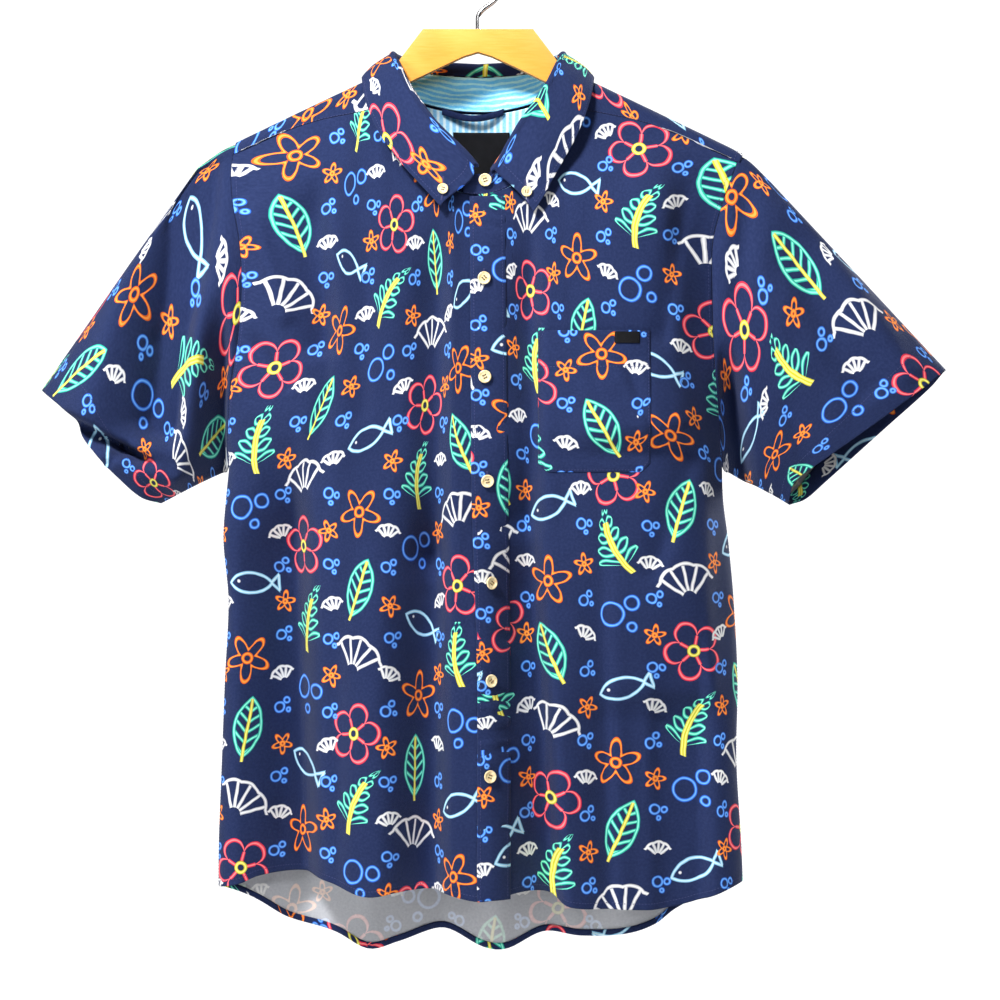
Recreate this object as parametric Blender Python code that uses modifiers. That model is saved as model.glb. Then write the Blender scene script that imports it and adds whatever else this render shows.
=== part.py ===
"""A short-sleeved button-down shirt on a wooden hanger, each sewn piece its own solid.

Metres, +Z up. The shirt faces -Y and the wearer's left is at +X. The origin is the
inside top of the hanger's hook, where it hangs on a rail.
"""

import math

import bmesh
import bpy
from mathutils import Vector

# Cloth and seams.
CLOTH = 0.0011
COLLAR_CLOTH = 0.0010
GAP = 0.0003
SEAM = 0.0004
SIDE_SEAM = 0.0004
EDGE_SHARE = 0.975
TRIM_SHARE = 0.9
TRIM_RISE = 0.020

# Shoulder line, from the neck outwards, and the roll of the cloth over it.
RIDGE_TOP = -0.0532
RIDGE_SLOPE = 0.4868
RIDGE_BLEND = 0.030
SHOULDER_ROLL = 0.009

# Grid columns of the large panels, the first of a front's within its underlap.
FRONT_COLUMNS = 16
UNDERLAP_COLUMNS = 2
BACK_COLUMNS = 22

# Height and half width at which the fronts' columns are set out.
BODY_Z = -0.500
BODY_HALF = 0.225
UNDERARM_Z = -0.460
ARMHOLE_TOP_HALF = 0.220

# Depth of the hollow body in front of and behind the hanger's plane.
FRONT_DEPTH = 0.049
BACK_DEPTH = 0.050
DEPTH_DROP = 0.10
BACK_NECK_SWELL = 0.007

# Neck seam.
NECK_HALF = 0.084
NECK_FRONT_Z = -0.2098
NECK_BACK_Z = -0.130
NECK_CORNER = math.radians(74.0)

# Centre front.
PLACKET_TOP_Z = -0.2118
UNDERLAP = 0.016
UNDERLAP_SHARE = UNDERLAP / BODY_HALF * 2.0 / math.pi
UNDER_TUCK = 0.0026
TUCK_WIDTH = 0.020
BACK_YOKE_Z = -0.216

# Buttons.
BUTTON_RADIUS = 0.0058
BUTTON_THICKNESS = 0.0024
BUTTON_RIM = 0.0005
COLLAR_BUTTON_RADIUS = 0.0048
COLLAR_BUTTON_INSET = 0.012
COLLAR_BUTTON_DOWN = 0.86
STAND_BUTTON_ROUND = 0.0265
STAND_BUTTON_UP = 0.55

# Pocket.
POCKET_TOP_Z = -0.3315
POCKET_BOTTOM_Z = -0.4565
POCKET_LEFT_X = 0.0545
POCKET_RIGHT_X = 0.1520
POCKET_CHAMFER = 0.008

# Tapes: the pocket's tab, the neck label and the hang loop.
TAPE = 0.0010
LINING = 0.0010
LINING_TRIM = 0.08
TAB_LEFT_X = 0.1205
TAB_WIDTH = 0.0215
TAB_DROP = 0.0015
TAB_HEIGHT = 0.0100
LABEL_LEFT_X = -0.0235
LABEL_WIDTH = 0.0525
LABEL_TOP_Z = -0.1455
LABEL_HEIGHT = 0.0420
LOOP_LEFT_X = -0.0345
LOOP_WIDTH = 0.0590
LOOP_TOP_Z = -0.1345
LOOP_SAG = 0.0030
LOOP_TAPE = 0.0060

# Hanger.
WOOD_THICKNESS = 0.011
WOOD_EDGE = 0.0025
WOOD_NECK = ((0.0708, -0.0860), (0.0720, -0.1075))
WOOD_NECK_HALF = 0.094
WOOD_TOP_Z = -0.058
WOOD_TOP_HALF = 0.0495
WOOD_CLEAR = 0.0064
WOOD_ARM_DEPTH = 0.0185
WOOD_ARM_HALF = 0.229
WOOD_ARCH_Z = -0.0785
WOOD_ARCH_SLOPE = 0.485
WOOD_TIP_TURN = 64.0
WOOD_ARCH_PEAK = 0.006
HOOK_WIRE = 0.0021
HOOK_INSIDE = 0.018
HOOK_START = math.radians(-50.0)
HOOK_SWEEP = math.radians(265.0)
HOOK_SHANK = 0.010
HOOK_PULL = 0.007

# The body's half width at each height, seen from the front: z, wearer's right, left.
SIDES = (
    (-0.830, 0.2335, 0.2385),
    (-0.787, 0.2331, 0.2367),
    (-0.715, 0.2304, 0.2325),
    (-0.643, 0.2277, 0.2335),
    (-0.571, 0.2245, 0.2300),
    (-0.517, 0.2290, 0.2250),
    (-0.481, 0.2268, 0.2205),
    (-0.452, 0.2240, 0.2196),
)

# Armhole seam: z, half width on the wearer's right and left, the turn of the section there.
ARMHOLES = (
    (-0.4520, 0.2240, 0.2196, 90.0),
    (-0.4270, 0.2245, 0.2178, 84.0),
    (-0.3850, 0.2220, 0.2140, 75.0),
    (-0.3400, 0.2150, 0.2105, 67.0),
    (-0.2900, 0.2110, 0.2090, 60.0),
    (-0.2500, 0.2130, 0.2100, 53.0),
    (-0.2150, 0.2190, 0.2190, 42.0),
    (-0.1850, 0.2210, 0.2300, 30.0),
    (-0.1600, 0.2170, 0.2390, 22.0),
)

# Drop of the front yoke seam below the shoulder line: half width, drop.
YOKE_FRONT = (
    (0.078, 0.034),
    (0.108, 0.026),
    (0.144, 0.016),
    (0.180, 0.011),
    (0.240, 0.010),
)

# Half of the yoke's rays, from its front corner to the centre back: angle round the neck
# seam, the line that the ray ends on, and how far along: a half width on the front seam,
# a length over the shoulder line on the armhole, a share of the half width on the back seam.
YOKE_RAYS = (
    (74.0, "front seam", 0.085),
    (78.0, "front seam", 0.120),
    (81.0, "front seam", 0.150),
    (83.0, "front seam", 0.185),
    (84.5, "armhole", -0.0135),
    (86.3, "armhole", -0.0100),
    (87.8, "armhole", -0.0065),
    (89.2, "armhole", -0.0025),
    (91.2, "armhole", 0.0020),
    (94.0, "armhole", 0.0060),
    (97.5, "armhole", 0.0100),
    (102.0, "armhole", 0.0140),
    (108.0, "armhole", 0.0220),
    (116.0, "armhole", 0.0380),
    (127.0, "back seam", 1.0),
    (140.0, "back seam", 0.78),
    (153.0, "back seam", 0.54),
    (166.0, "back seam", 0.28),
    (180.0, "back seam", 0.0),
)
YOKE_COLUMNS = 2 * len(YOKE_RAYS) - 2

# Hems, from the wearer's right to the left: x, z.
FRONT_HEM = (
    (-0.2335, -0.8284),
    (-0.2140, -0.8250),
    (-0.1980, -0.8132),
    (-0.1690, -0.8080),
    (-0.1350, -0.8106),
    (-0.1008, -0.8313),
    (-0.0702, -0.8287),
    (-0.0342, -0.8290),
    (0.0000, -0.8358),
    (0.0378, -0.8300),
    (0.0630, -0.8320),
    (0.0810, -0.8420),
    (0.1206, -0.8457),
    (0.1638, -0.8465),
    (0.1998, -0.8385),
    (0.2385, -0.8230),
)
BACK_HEM = (
    (-0.2335, -0.8284),
    (-0.2025, -0.8421),
    (-0.1728, -0.8617),
    (-0.1296, -0.8751),
    (-0.1000, -0.8900),
    (-0.0738, -0.8846),
    (-0.0330, -0.8745),
    (0.0045, -0.8895),
    (0.0261, -0.8911),
    (0.0594, -0.8773),
    (0.0950, -0.8800),
    (0.1332, -0.8765),
    (0.1611, -0.8672),
    (0.1809, -0.8524),
    (0.2385, -0.8230),
)

# Placket edges: z, free edge, stitched edge, button line.
PLACKET = (
    (-0.840, -0.0005, 0.0288, 0.0090),
    (-0.640, -0.0005, 0.0288, 0.0108),
    (-0.550, -0.0030, 0.0280, 0.0108),
    (-0.481, -0.0054, 0.0270, 0.0088),
    (-0.372, -0.0060, 0.0258, 0.0063),
    (-0.210, -0.0072, 0.0243, 0.0054),
)
BUTTON_HEIGHTS = (-0.2850, -0.3720, -0.4640, -0.5545, -0.6410, -0.7250)

# Long soft folds of the front: x and z at the top and bottom, half width, height outwards.
FRONT_FOLDS = (
    (-0.0480, -0.230, -0.0660, -0.615, 0.012, -0.0060),
    (-0.0660, -0.520, -0.0710, -0.900, 0.016, -0.0075),
    (-0.0180, -0.230, -0.0170, -0.900, 0.011, 0.0035),
    (0.0400, -0.230, 0.0540, -0.900, 0.011, -0.0055),
    (0.0640, -0.440, 0.0800, -0.900, 0.012, 0.0040),
    (-0.1880, -0.190, -0.1500, -0.370, 0.012, -0.0055),
    (-0.1980, -0.440, -0.1950, -0.900, 0.016, -0.0070),
    (-0.1080, -0.500, -0.1060, -0.900, 0.022, 0.0050),
    (-0.1500, -0.560, -0.1460, -0.900, 0.015, -0.0045),
    (0.1180, -0.480, 0.1250, -0.900, 0.026, -0.0035),
    (0.1800, -0.420, 0.1850, -0.900, 0.020, 0.0035),
)
BACK_FOLDS = (
    (-0.1000, -0.340, -0.1000, -0.950, 0.026, -0.0070),
    (-0.0330, -0.300, -0.0300, -0.950, 0.022, 0.0060),
    (0.0200, -0.380, 0.0150, -0.950, 0.018, -0.0060),
    (0.0750, -0.320, 0.0650, -0.950, 0.022, 0.0055),
    (0.1350, -0.260, 0.1400, -0.950, 0.026, -0.0055),
    (-0.1550, -0.280, -0.1600, -0.950, 0.020, 0.0045),
)

# Sleeves: side, hem's outer tip and lower tip, lift of the shoulder line at its bend.
SLEEVES = {
    "sleeve_right": {"side": -1, "tip": (0.3924, -0.3820), "low": (0.2850, -0.4840), "lift": 0.014},
    "sleeve_left": {"side": 1, "tip": (0.4212, -0.3640), "low": (0.2790, -0.4840), "lift": 0.003},
}
SLEEVE_BEND = 0.14

# Round a sleeve, from the shoulder line down to the underarm: share of the way down the
# armhole seam, turn of the hem.
SLEEVE_RING = (
    (0.000, 0.0),
    (0.022, 10.0),
    (0.045, 20.0),
    (0.110, 35.0),
    (0.210, 50.0),
    (0.330, 66.0),
    (0.450, 82.0),
    (0.570, 98.0),
    (0.690, 114.0),
    (0.800, 130.0),
    (0.900, 148.0),
    (1.000, 180.0),
)
SLEEVE_HEM_DEPTH = 0.020
SLEEVE_BELLY = 0.010
LIFT_X = 0.76
LIFT_Z = 0.65

# Collar, from the centre front (0) round to the centre back (180): angle, then the
# stand's top edge, the roll line and the leaf's outer edge, each as x, y, z.
COLLAR = (
    (6, (0.0095, -0.0405, -0.1920), (0.0080, -0.0435, -0.1905), (0.0463, -0.0490, -0.2215)),
    (20, (0.0225, -0.0395, -0.1740), (0.0205, -0.0425, -0.1710), (0.0555, -0.0475, -0.2085)),
    (34, (0.0370, -0.0365, -0.1545), (0.0345, -0.0390, -0.1500), (0.0650, -0.0450, -0.1930)),
    (48, (0.0500, -0.0310, -0.1365), (0.0478, -0.0325, -0.1310), (0.0755, -0.0400, -0.1765)),
    (62, (0.0625, -0.0230, -0.1175), (0.0600, -0.0240, -0.1120), (0.0880, -0.0330, -0.1555)),
    (76, (0.0740, -0.0120, -0.0990), (0.0715, -0.0125, -0.0925), (0.0990, -0.0220, -0.1280)),
    (90, (0.0795, 0.0000, -0.0890), (0.0770, 0.0000, -0.0808), (0.1060, -0.0010, -0.1015)),
    (105, (0.0770, 0.0110, -0.0900), (0.0740, 0.0120, -0.0810), (0.1000, 0.0200, -0.1080)),
    (125, (0.0660, 0.0220, -0.0920), (0.0630, 0.0235, -0.0822), (0.0800, 0.0340, -0.1200)),
    (150, (0.0400, 0.0310, -0.0950), (0.0385, 0.0320, -0.0845), (0.0460, 0.0440, -0.1270)),
    (180, (0.0000, 0.0345, -0.0970), (0.0000, 0.0360, -0.0862), (0.0000, 0.0480, -0.1300)),
)
COLLAR_SKEW = (0.0035, -0.0050)
SKEW_END = 80.0
SKEW_SPAN = 60.0
LEAF_ROLL = 0.0024
LEAF_RISE = 0.15
LEAF_FALL = 0.45
LEAF_BELLY = 0.003
LEAF_START = math.radians(5.5)
STAND_TUCK = 0.0034
STAND_TUCK_START = 0.55
STAND_TUCK_SPAN = 0.25
STAND_LAP = math.radians(6.0)
STAND_COLUMNS = 32

COLOURS = {
    "navy_print": ((0.032, 0.036, 0.120), 0.85, 0.0),
    "chambray": ((0.250, 0.480, 0.680), 0.88, 0.0),
    "black_tape": ((0.012, 0.012, 0.014), 0.65, 0.0),
    "cream_resin": ((0.720, 0.640, 0.450), 0.40, 0.0),
    "blonde_wood": ((0.840, 0.560, 0.180), 0.42, 0.0),
    "bright_steel": ((0.620, 0.620, 0.630), 0.28, 1.0),
}

for left_over in list(bpy.data.objects):
    bpy.data.objects.remove(left_over, do_unlink=True)
shirt = bpy.data.collections.new("short_sleeved_shirt_on_hanger")
bpy.context.scene.collection.children.link(shirt)


def blend(t):
    """0 to 1 with a soft start and end."""
    t = min(1.0, max(0.0, t))
    return t * t * (3.0 - 2.0 * t)


def along(table, key, column):
    """A table's column at a key, curving smoothly through the rows, whose keys rise."""
    row = 0
    while row < len(table) - 2 and key > table[row + 1][0]:
        row += 1
    here, there = table[row], table[row + 1]
    before, after = table[max(0, row - 1)], table[min(len(table) - 1, row + 2)]
    span = there[0] - here[0]
    t = min(1.0, max(0.0, (key - here[0]) / span))
    start = (there[column] - before[column]) / (there[0] - before[0]) * span
    end = (after[column] - here[column]) / (after[0] - here[0]) * span
    rise = there[column] - here[column]
    return here[column] + t * (start + t * (3 * rise - 2 * start - end + t * (start + end - 2 * rise)))


def ridge(x):
    """Height of the shoulder line."""
    return RIDGE_TOP - RIDGE_SLOPE * math.hypot(x, RIDGE_BLEND)


def half_width(x, z):
    """Half width of the section's ellipse, which the armhole cuts short above the underarm."""
    side = 1 if x < 0 else 2
    if z <= ARMHOLES[0][0]:
        return along(SIDES, z, side)
    return along(ARMHOLES, z, side) / math.sin(math.radians(along(ARMHOLES, z, 3)))


def edge_turn(z):
    """Angle of the section at the panel's side edge."""
    return math.radians(90.0 if z <= ARMHOLES[0][0] else along(ARMHOLES, z, 3))


def folds(table, x, z):
    """Sum of the table's long folds at a point."""
    total = 0.0
    for x_top, z_top, x_bottom, z_bottom, width, height in table:
        t = (z_top - z) / (z_top - z_bottom)
        if 0.0 < t < 1.0:
            middle = x_top + (x_bottom - x_top) * t
            strength = blend(t / 0.3) * blend((1.0 - t) / 0.1)
            total += height * strength * math.exp(-(((x - middle) / width) ** 2))
    return total


def reach(drop, depth):
    """Distance of the cloth from the hanger's plane at a drop below the shoulder line."""
    if drop < SHOULDER_ROLL:
        return math.sqrt(max(0.0, SHOULDER_ROLL**2 - (SHOULDER_ROLL - drop) ** 2))
    swell = 1.0 - math.exp(-(((drop - SHOULDER_ROLL) / DEPTH_DROP) ** 1.2))
    return SHOULDER_ROLL + (depth - SHOULDER_ROLL) * swell


def front_point(x, z):
    """The front's outer face."""
    across = math.sqrt(max(0.0, 1.0 - (x / half_width(x, z)) ** 2))
    y = reach(ridge(x) - z, FRONT_DEPTH) + folds(FRONT_FOLDS, x, z)
    return Vector((x, -y * across, z))


def back_point(x, z):
    """The back's outer face, which swells behind the neck."""
    across = math.sqrt(max(0.0, 1.0 - (x / half_width(x, z)) ** 2))
    drop = ridge(x) - z
    swell = BACK_NECK_SWELL * math.exp(-((x / 0.06) ** 2) - (((drop - 0.07) / 0.05) ** 2))
    y = reach(drop, BACK_DEPTH) + swell + folds(BACK_FOLDS, x, z)
    return Vector((x, y * across, z))


def moved_out(face, x, z, distance):
    """A point that far outside a face, along the face's normal."""
    step = 0.001
    along_x = face(x + step, z) - face(x - step, z)
    along_z = face(x, z + step) - face(x, z - step)
    normal = along_x.cross(along_z).normalized()
    if normal.y * face(x, z).y < 0.0:
        normal.negate()
    return face(x, z) + normal * distance


def drop_at(length):
    """Drop below the shoulder line at a length over it."""
    if length < SHOULDER_ROLL * math.pi / 2:
        return SHOULDER_ROLL * (1.0 - math.cos(length / SHOULDER_ROLL))
    return SHOULDER_ROLL + length - SHOULDER_ROLL * math.pi / 2


def over_shoulder(x, length):
    """A point on the outer face at a length over the shoulder line, to the back if positive."""
    face = back_point if length > 0.0 else front_point
    return face(x, ridge(x) - drop_at(abs(length)))


def length_of(drop):
    """Length over the shoulder line for a drop below it."""
    if drop < SHOULDER_ROLL:
        return SHOULDER_ROLL * math.acos(max(-1.0, 1.0 - drop / SHOULDER_ROLL))
    return drop - SHOULDER_ROLL + SHOULDER_ROLL * math.pi / 2


def neck_seam(angle):
    """x and z of the neck seam, and whether it lies on the back: 0 is the centre front."""
    x = NECK_HALF * math.sin(angle)
    on_back = math.cos(angle) < 0.0
    low = NECK_BACK_Z if on_back else NECK_FRONT_Z
    return x, low + (ridge(NECK_HALF) - low) * (1.0 - abs(math.cos(angle))), on_back


def principled(name):
    colour, roughness, metallic = COLOURS[name]
    material = bpy.data.materials.get(name) or bpy.data.materials.new(name)
    material.use_nodes = True
    shader = material.node_tree.nodes["Principled BSDF"]
    shader.inputs["Base Color"].default_value = (*colour, 1.0)
    shader.inputs["Roughness"].default_value = roughness
    shader.inputs["Metallic"].default_value = metallic
    material.diffuse_color = (*colour, 1.0)
    return material


def add(name, mesh, material):
    """An object of the shirt, its material named for what it is made of."""
    piece = bpy.data.objects.new(name, mesh)
    piece.data.materials.append(principled(material))
    shirt.objects.link(piece)
    return piece


def cloth(name, columns, rows, place, wall=CLOTH, material="navy_print", tube=False):
    """A sheet of cloth: a grid laid by place(u, v), given its wall on the inside."""
    sheet = bmesh.new()
    bmesh.ops.create_grid(sheet, x_segments=columns, y_segments=rows, size=0.5)
    for vertex in sheet.verts:
        vertex.co = place(vertex.co.x + 0.5, vertex.co.y + 0.5)
    if tube:
        bmesh.ops.remove_doubles(sheet, verts=sheet.verts, dist=0.00001)
    mesh = bpy.data.meshes.new(name)
    sheet.to_mesh(mesh)
    sheet.free()
    piece = add(name, mesh, material)
    solid = piece.modifiers.new("wall", "SOLIDIFY")
    solid.thickness = wall
    solid.offset = -1.0
    mesh.shade_smooth()
    return piece


def panel_top(x):
    """Height of a front's upper edge: the neck seam, then the yoke seam."""
    half = abs(x)
    corner = NECK_HALF * math.sin(NECK_CORNER)
    if half < corner:
        return neck_seam(math.asin(half / NECK_HALF))[1] - SEAM
    yoke_seam = ridge(x) - along(YOKE_FRONT, half, 1)
    seam_edge = neck_seam(NECK_CORNER)[1]
    return min(yoke_seam, yoke_seam + (seam_edge - yoke_seam) * blend((corner + 0.01 - half) / 0.01)) - SEAM


def column_point(face, half_turn, z, side):
    """A point of a panel by the share of its half width, from the centre to the side edge."""
    turn = edge_turn(z) * half_turn
    x = side * half_width(side, z) * math.sin(turn)
    return face(x, z)


def settle(face, share, side, height_of):
    """Height where a panel's column meets an edge given as a height for each x."""
    low, high = -0.95, -0.05
    for _ in range(40):
        middle = (low + high) / 2
        x = column_point(face, share, middle, side).x
        if middle < height_of(x):
            low = middle
        else:
            high = middle
    return (low + high) / 2


def spread(u, columns):
    """Share of the half width for a grid column, with the last two close to the edge."""
    return 1.0 if u > 1.0 - 0.5 / columns else EDGE_SHARE * u / (1.0 - 1.0 / columns)


def finished(point, side, share, facing):
    """A panel's point, drawn in from the sleeve, and at the side half a seam from its other."""
    near_edge = blend((share - TRIM_SHARE) / (1.0 - TRIM_SHARE))
    point.x -= side * 2 * GAP * near_edge * blend((point.z - UNDERARM_Z) / TRIM_RISE)
    if share == 1.0:
        point.y = facing * max(abs(point.y), SIDE_SEAM)
    return point


def front_panel(side, inner_x, tuck):
    """place(u, v) of one front, from its centre edge to the side, with that edge tucked in."""
    inner = math.asin(inner_x * side / half_width(side, BODY_Z)) / edge_turn(BODY_Z)
    first = inner + UNDERLAP_SHARE * UNDERLAP_COLUMNS
    fixed = UNDERLAP_COLUMNS / FRONT_COLUMNS

    def share_of(u):
        if u < fixed:
            return inner + UNDERLAP_SHARE * u * FRONT_COLUMNS
        outer_columns = FRONT_COLUMNS - UNDERLAP_COLUMNS
        return first + (1.0 - first) * spread((u - fixed) / (1.0 - fixed), outer_columns)

    def place(u, v):
        share = share_of(u if side > 0 else 1.0 - u)
        top = settle(front_point, share, side, panel_top)
        bottom = settle(front_point, share, side, lambda x: along(FRONT_HEM, x, 1))
        z = bottom + (top - bottom) * v
        point = column_point(front_point, share, z, side)
        point.y += tuck * (1.0 - blend((abs(point.x - inner_x) - TUCK_WIDTH) / TUCK_WIDTH))
        return finished(point, side, share, -1)

    return place


def back_panel(u, v):
    """place(u, v) of the back, from the hem to the yoke seam."""
    side = 1 if u <= 0.5 else -1
    share = spread(abs(1.0 - 2.0 * u), BACK_COLUMNS / 2)
    bottom = settle(back_point, share, side, lambda x: along(BACK_HEM, x, 1))
    z = bottom + (BACK_YOKE_Z - SEAM - bottom) * v
    return finished(column_point(back_point, share, z, side), side, share, 1)


def armhole_half(side, z):
    """Half width of the armhole seam at a height."""
    return along(ARMHOLES, min(z, ARMHOLES[-1][0]), 1 if side < 0 else 2)


def yoke_edge(side, row):
    """Outer edge of the yoke for one of its rays, as x and length over the shoulder line."""
    _, line, value = YOKE_RAYS[row]
    if line == "front seam":
        return side * value, -length_of(along(YOKE_FRONT, value, 1) - 2 * GAP)
    if line == "armhole":
        z = ridge(ARMHOLE_TOP_HALF) - abs(value)
        return side * (armhole_half(side, z) - 3 * GAP), value
    x = (armhole_half(side, BACK_YOKE_Z) - 3 * GAP) * value
    return side * x, length_of(ridge(x) - BACK_YOKE_Z - GAP)


def yoke_sheet(inset, trim):
    """place(u, v) of the yoke or its lining: rays from the neck seam to the outer edge."""
    def place(u, v):
        ray = round(u * YOKE_COLUMNS)
        side = -1 if ray < len(YOKE_RAYS) else 1
        row = min(ray, YOKE_COLUMNS - ray)
        x, z, on_back = neck_seam(math.radians(YOKE_RAYS[row][0]))
        length = length_of(max(0.0, ridge(x) - z)) * (1 if on_back else -1)
        x *= side
        edge_x, edge_length = yoke_edge(side, row)
        t = (1.0 - v) * (1.0 - trim)
        x, length = x + (edge_x - x) * t, length + (edge_length - length) * t
        step = 0.0008
        along_x = over_shoulder(x + step, length) - over_shoulder(x - step, length)
        back_over = over_shoulder(x, length + step) - over_shoulder(x, length - step)
        return over_shoulder(x, length) - along_x.cross(back_over).normalized() * inset

    return place


def armhole(side, share, on_back):
    """A point of the armhole seam by its share of the way from the shoulder down."""
    x = armhole_half(side, ridge(ARMHOLE_TOP_HALF))
    low = ARMHOLES[0][0]
    length = share * length_of(ridge(x) - low)
    drop = drop_at(length)
    z = ridge(x) - drop
    x = armhole_half(side, z)
    y = reach(drop, BACK_DEPTH if on_back else FRONT_DEPTH) * math.cos(edge_turn(z))
    return Vector((side * x, y if on_back else -y, z))


def sleeve_sheet(side, tip, low, lift):
    """place(u, v) of a sleeve: round its ring with u, from the hem to the armhole with v."""
    tip = Vector((side * tip[0], 0.0, tip[1]))
    low = Vector((side * low[0], 0.0, low[1]))
    middle = (tip + low) / 2
    half = (tip - low) / 2
    last = len(SLEEVE_RING) - 1

    def place(u, v):
        stop = round((u if side > 0 else 1.0 - u) * 2 * last)
        on_back = stop > last
        share, degrees = SLEEVE_RING[2 * last - stop if on_back else stop]
        angle = math.radians(-degrees if on_back else degrees)
        t = 1.0 - v
        start = armhole(side, share, on_back)
        end = middle + half * math.cos(angle) + Vector((0.0, -SLEEVE_HEM_DEPTH * math.sin(angle), 0.0))
        start += (end - start).normalized() * 4 * SEAM
        point = start.lerp(end, t)
        rise = t / SLEEVE_BEND if t < SLEEVE_BEND else (1.0 - t) / (1.0 - SLEEVE_BEND)
        point += Vector((side * LIFT_X, 0.0, LIFT_Z)) * (lift * rise * max(0.0, math.cos(angle)) ** 2)
        point.y -= SLEEVE_BELLY * math.sin(math.pi * t) * math.sin(angle)
        return point

    return place


def collar_point(kind, angle):
    """A point of the stand's top (1), the roll line (2) or the leaf's edge (3)."""
    degrees = abs(math.degrees(angle))
    rows = [(row[0], *row[kind]) for row in COLLAR]
    x, y, z = (along(rows, degrees, column) for column in (1, 2, 3))
    if kind == 3:
        front = blend((SKEW_END - degrees) / SKEW_SPAN) * math.copysign(0.5, angle)
        x += COLLAR_SKEW[0] * front
        z += COLLAR_SKEW[1] * front * 2
    return Vector((math.copysign(x, angle), y, z))


def round_the_neck(angle):
    """An angle from the centre front over the wearer's left, as one from -180 to 180."""
    return math.copysign(math.pi - abs(math.pi - abs(angle)), math.sin(angle) or 1.0)


def closer_at_sides(angle):
    """Draws a ring's columns together over the shoulders, where the collar turns most."""
    return angle + 0.25 * math.sin(2 * angle)


def stand_point(angle, v):
    """The stand's outer face, from the neck seam to its top, with its under end tucked in."""
    x, z, on_back = neck_seam(abs(angle))
    x = math.copysign(x, math.sin(angle) or 1.0) * (1.0 - 4 * SEAM / NECK_HALF)
    z += 4 * SEAM * abs(math.cos(angle))
    low = back_point(x, z) if on_back else front_point(x, z)
    point = low.lerp(collar_point(1, round_the_neck(angle)), v)
    under = STAND_TUCK * blend((angle - 2 * math.pi + STAND_TUCK_START) / STAND_TUCK_SPAN)
    return point + Vector((-point.x, -point.y, 0.0)).normalized() * under


def stand_sheet(start, end, inset):
    """place(u, v) of a stand layer between two angles, that far inside the outer face."""
    def place(u, v):
        angle = closer_at_sides(start + (end - start) * u)
        step = 0.02
        round_neck = stand_point(angle + step, v) - stand_point(angle - step, v)
        upward = stand_point(angle, v + step) - stand_point(angle, v - step)
        return stand_point(angle, v) - round_neck.cross(upward).normalized() * inset

    return place


def leaf_sheet(u, v):
    """place(u, v) of the turned-down leaf: up from the stand, over the roll, to its edge."""
    first = LEAF_START
    angle = round_the_neck(closer_at_sides(first + 2 * (math.pi - first) * u))
    stand_top = collar_point(1, angle)
    roll = collar_point(2, angle)
    edge = collar_point(3, angle)
    stand_top.z += 5 * GAP
    away = Vector((edge.x - roll.x, edge.y - roll.y, 0.0)).normalized()
    over = roll + away * LEAF_ROLL * 2
    if v < LEAF_RISE:
        return stand_top.lerp(roll, v / LEAF_RISE)
    if v < LEAF_FALL:
        arc = math.pi * (v - LEAF_RISE) / (LEAF_FALL - LEAF_RISE)
        point = roll.lerp(over, (1.0 - math.cos(arc)) / 2)
        point.z += LEAF_ROLL * math.sin(arc)
        return point
    t = (v - LEAF_FALL) / (1.0 - LEAF_FALL)
    return over.lerp(edge, t) + away * LEAF_BELLY * math.sin(math.pi * t)


def on_sheet(place, u, v):
    """A point of a sheet and the sheet's outward direction there."""
    step = 0.004
    along_u = place(min(1.0, u + step), v) - place(max(0.0, u - step), v)
    along_v = place(u, min(1.0, v + step)) - place(u, max(0.0, v - step))
    return place(u, v), along_u.cross(along_v).normalized()


def button(name, radius, centre, normal):
    """A resin button lying on the cloth."""
    disc = bmesh.new()
    bmesh.ops.create_cone(
        disc, cap_ends=True, segments=20, radius1=radius, radius2=radius, depth=BUTTON_THICKNESS
    )
    mesh = bpy.data.meshes.new(name)
    disc.to_mesh(mesh)
    disc.free()
    piece = add(name, mesh, "cream_resin")
    piece.location = centre + normal * (BUTTON_THICKNESS / 2 + 2 * GAP)
    piece.rotation_euler = normal.to_track_quat("Z", "Y").to_euler()
    bevel = piece.modifiers.new("rim", "BEVEL")
    bevel.width = BUTTON_RIM
    bevel.segments = 1


# The two fronts, and the placket that covers their overlap.
cloth("front_right", FRONT_COLUMNS, 14, front_panel(-1, UNDERLAP, UNDER_TUCK))
cloth("front_left", FRONT_COLUMNS, 14, front_panel(1, 0.0, 0.0))


def placket_sheet(u, v):
    low = along(FRONT_HEM, 0.012, 1)
    z = low + (PLACKET_TOP_Z - low) * v
    free, stitched = along(PLACKET, z, 1), along(PLACKET, z, 2)
    return moved_out(front_point, free + (stitched - free) * u, z, CLOTH + 2 * GAP)


cloth("placket", 3, 18, placket_sheet)

# Patch pocket on the wearer's left, with a plain tab on its upper edge.


def pocket_sheet(u, v):
    x = POCKET_LEFT_X + (POCKET_RIGHT_X - POCKET_LEFT_X) * u
    low = POCKET_BOTTOM_Z + POCKET_CHAMFER * max(0.0, abs(u - 0.5) * 2 - 0.8) / 0.2
    return moved_out(front_point, x, low + (POCKET_TOP_Z - low) * v, CLOTH + 2 * GAP)


def tab_sheet(u, v):
    x = TAB_LEFT_X + TAB_WIDTH * u
    z = POCKET_TOP_Z - TAB_DROP - TAB_HEIGHT * (1.0 - v)
    return moved_out(front_point, x, z, CLOTH + 2 * GAP + TAPE + GAP)


cloth("pocket", 9, 7, pocket_sheet)
cloth("pocket_tab", 3, 1, tab_sheet, TAPE, "black_tape")

# Back, yoke and the yoke's lining, with what is sewn to it inside the neck.
cloth("back", BACK_COLUMNS, 14, back_panel)
cloth("yoke", YOKE_COLUMNS, 5, yoke_sheet(0.0, 0.0))
cloth("inner_yoke", YOKE_COLUMNS, 5, yoke_sheet(CLOTH + 3 * GAP, LINING_TRIM), LINING, "chambray")


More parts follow.
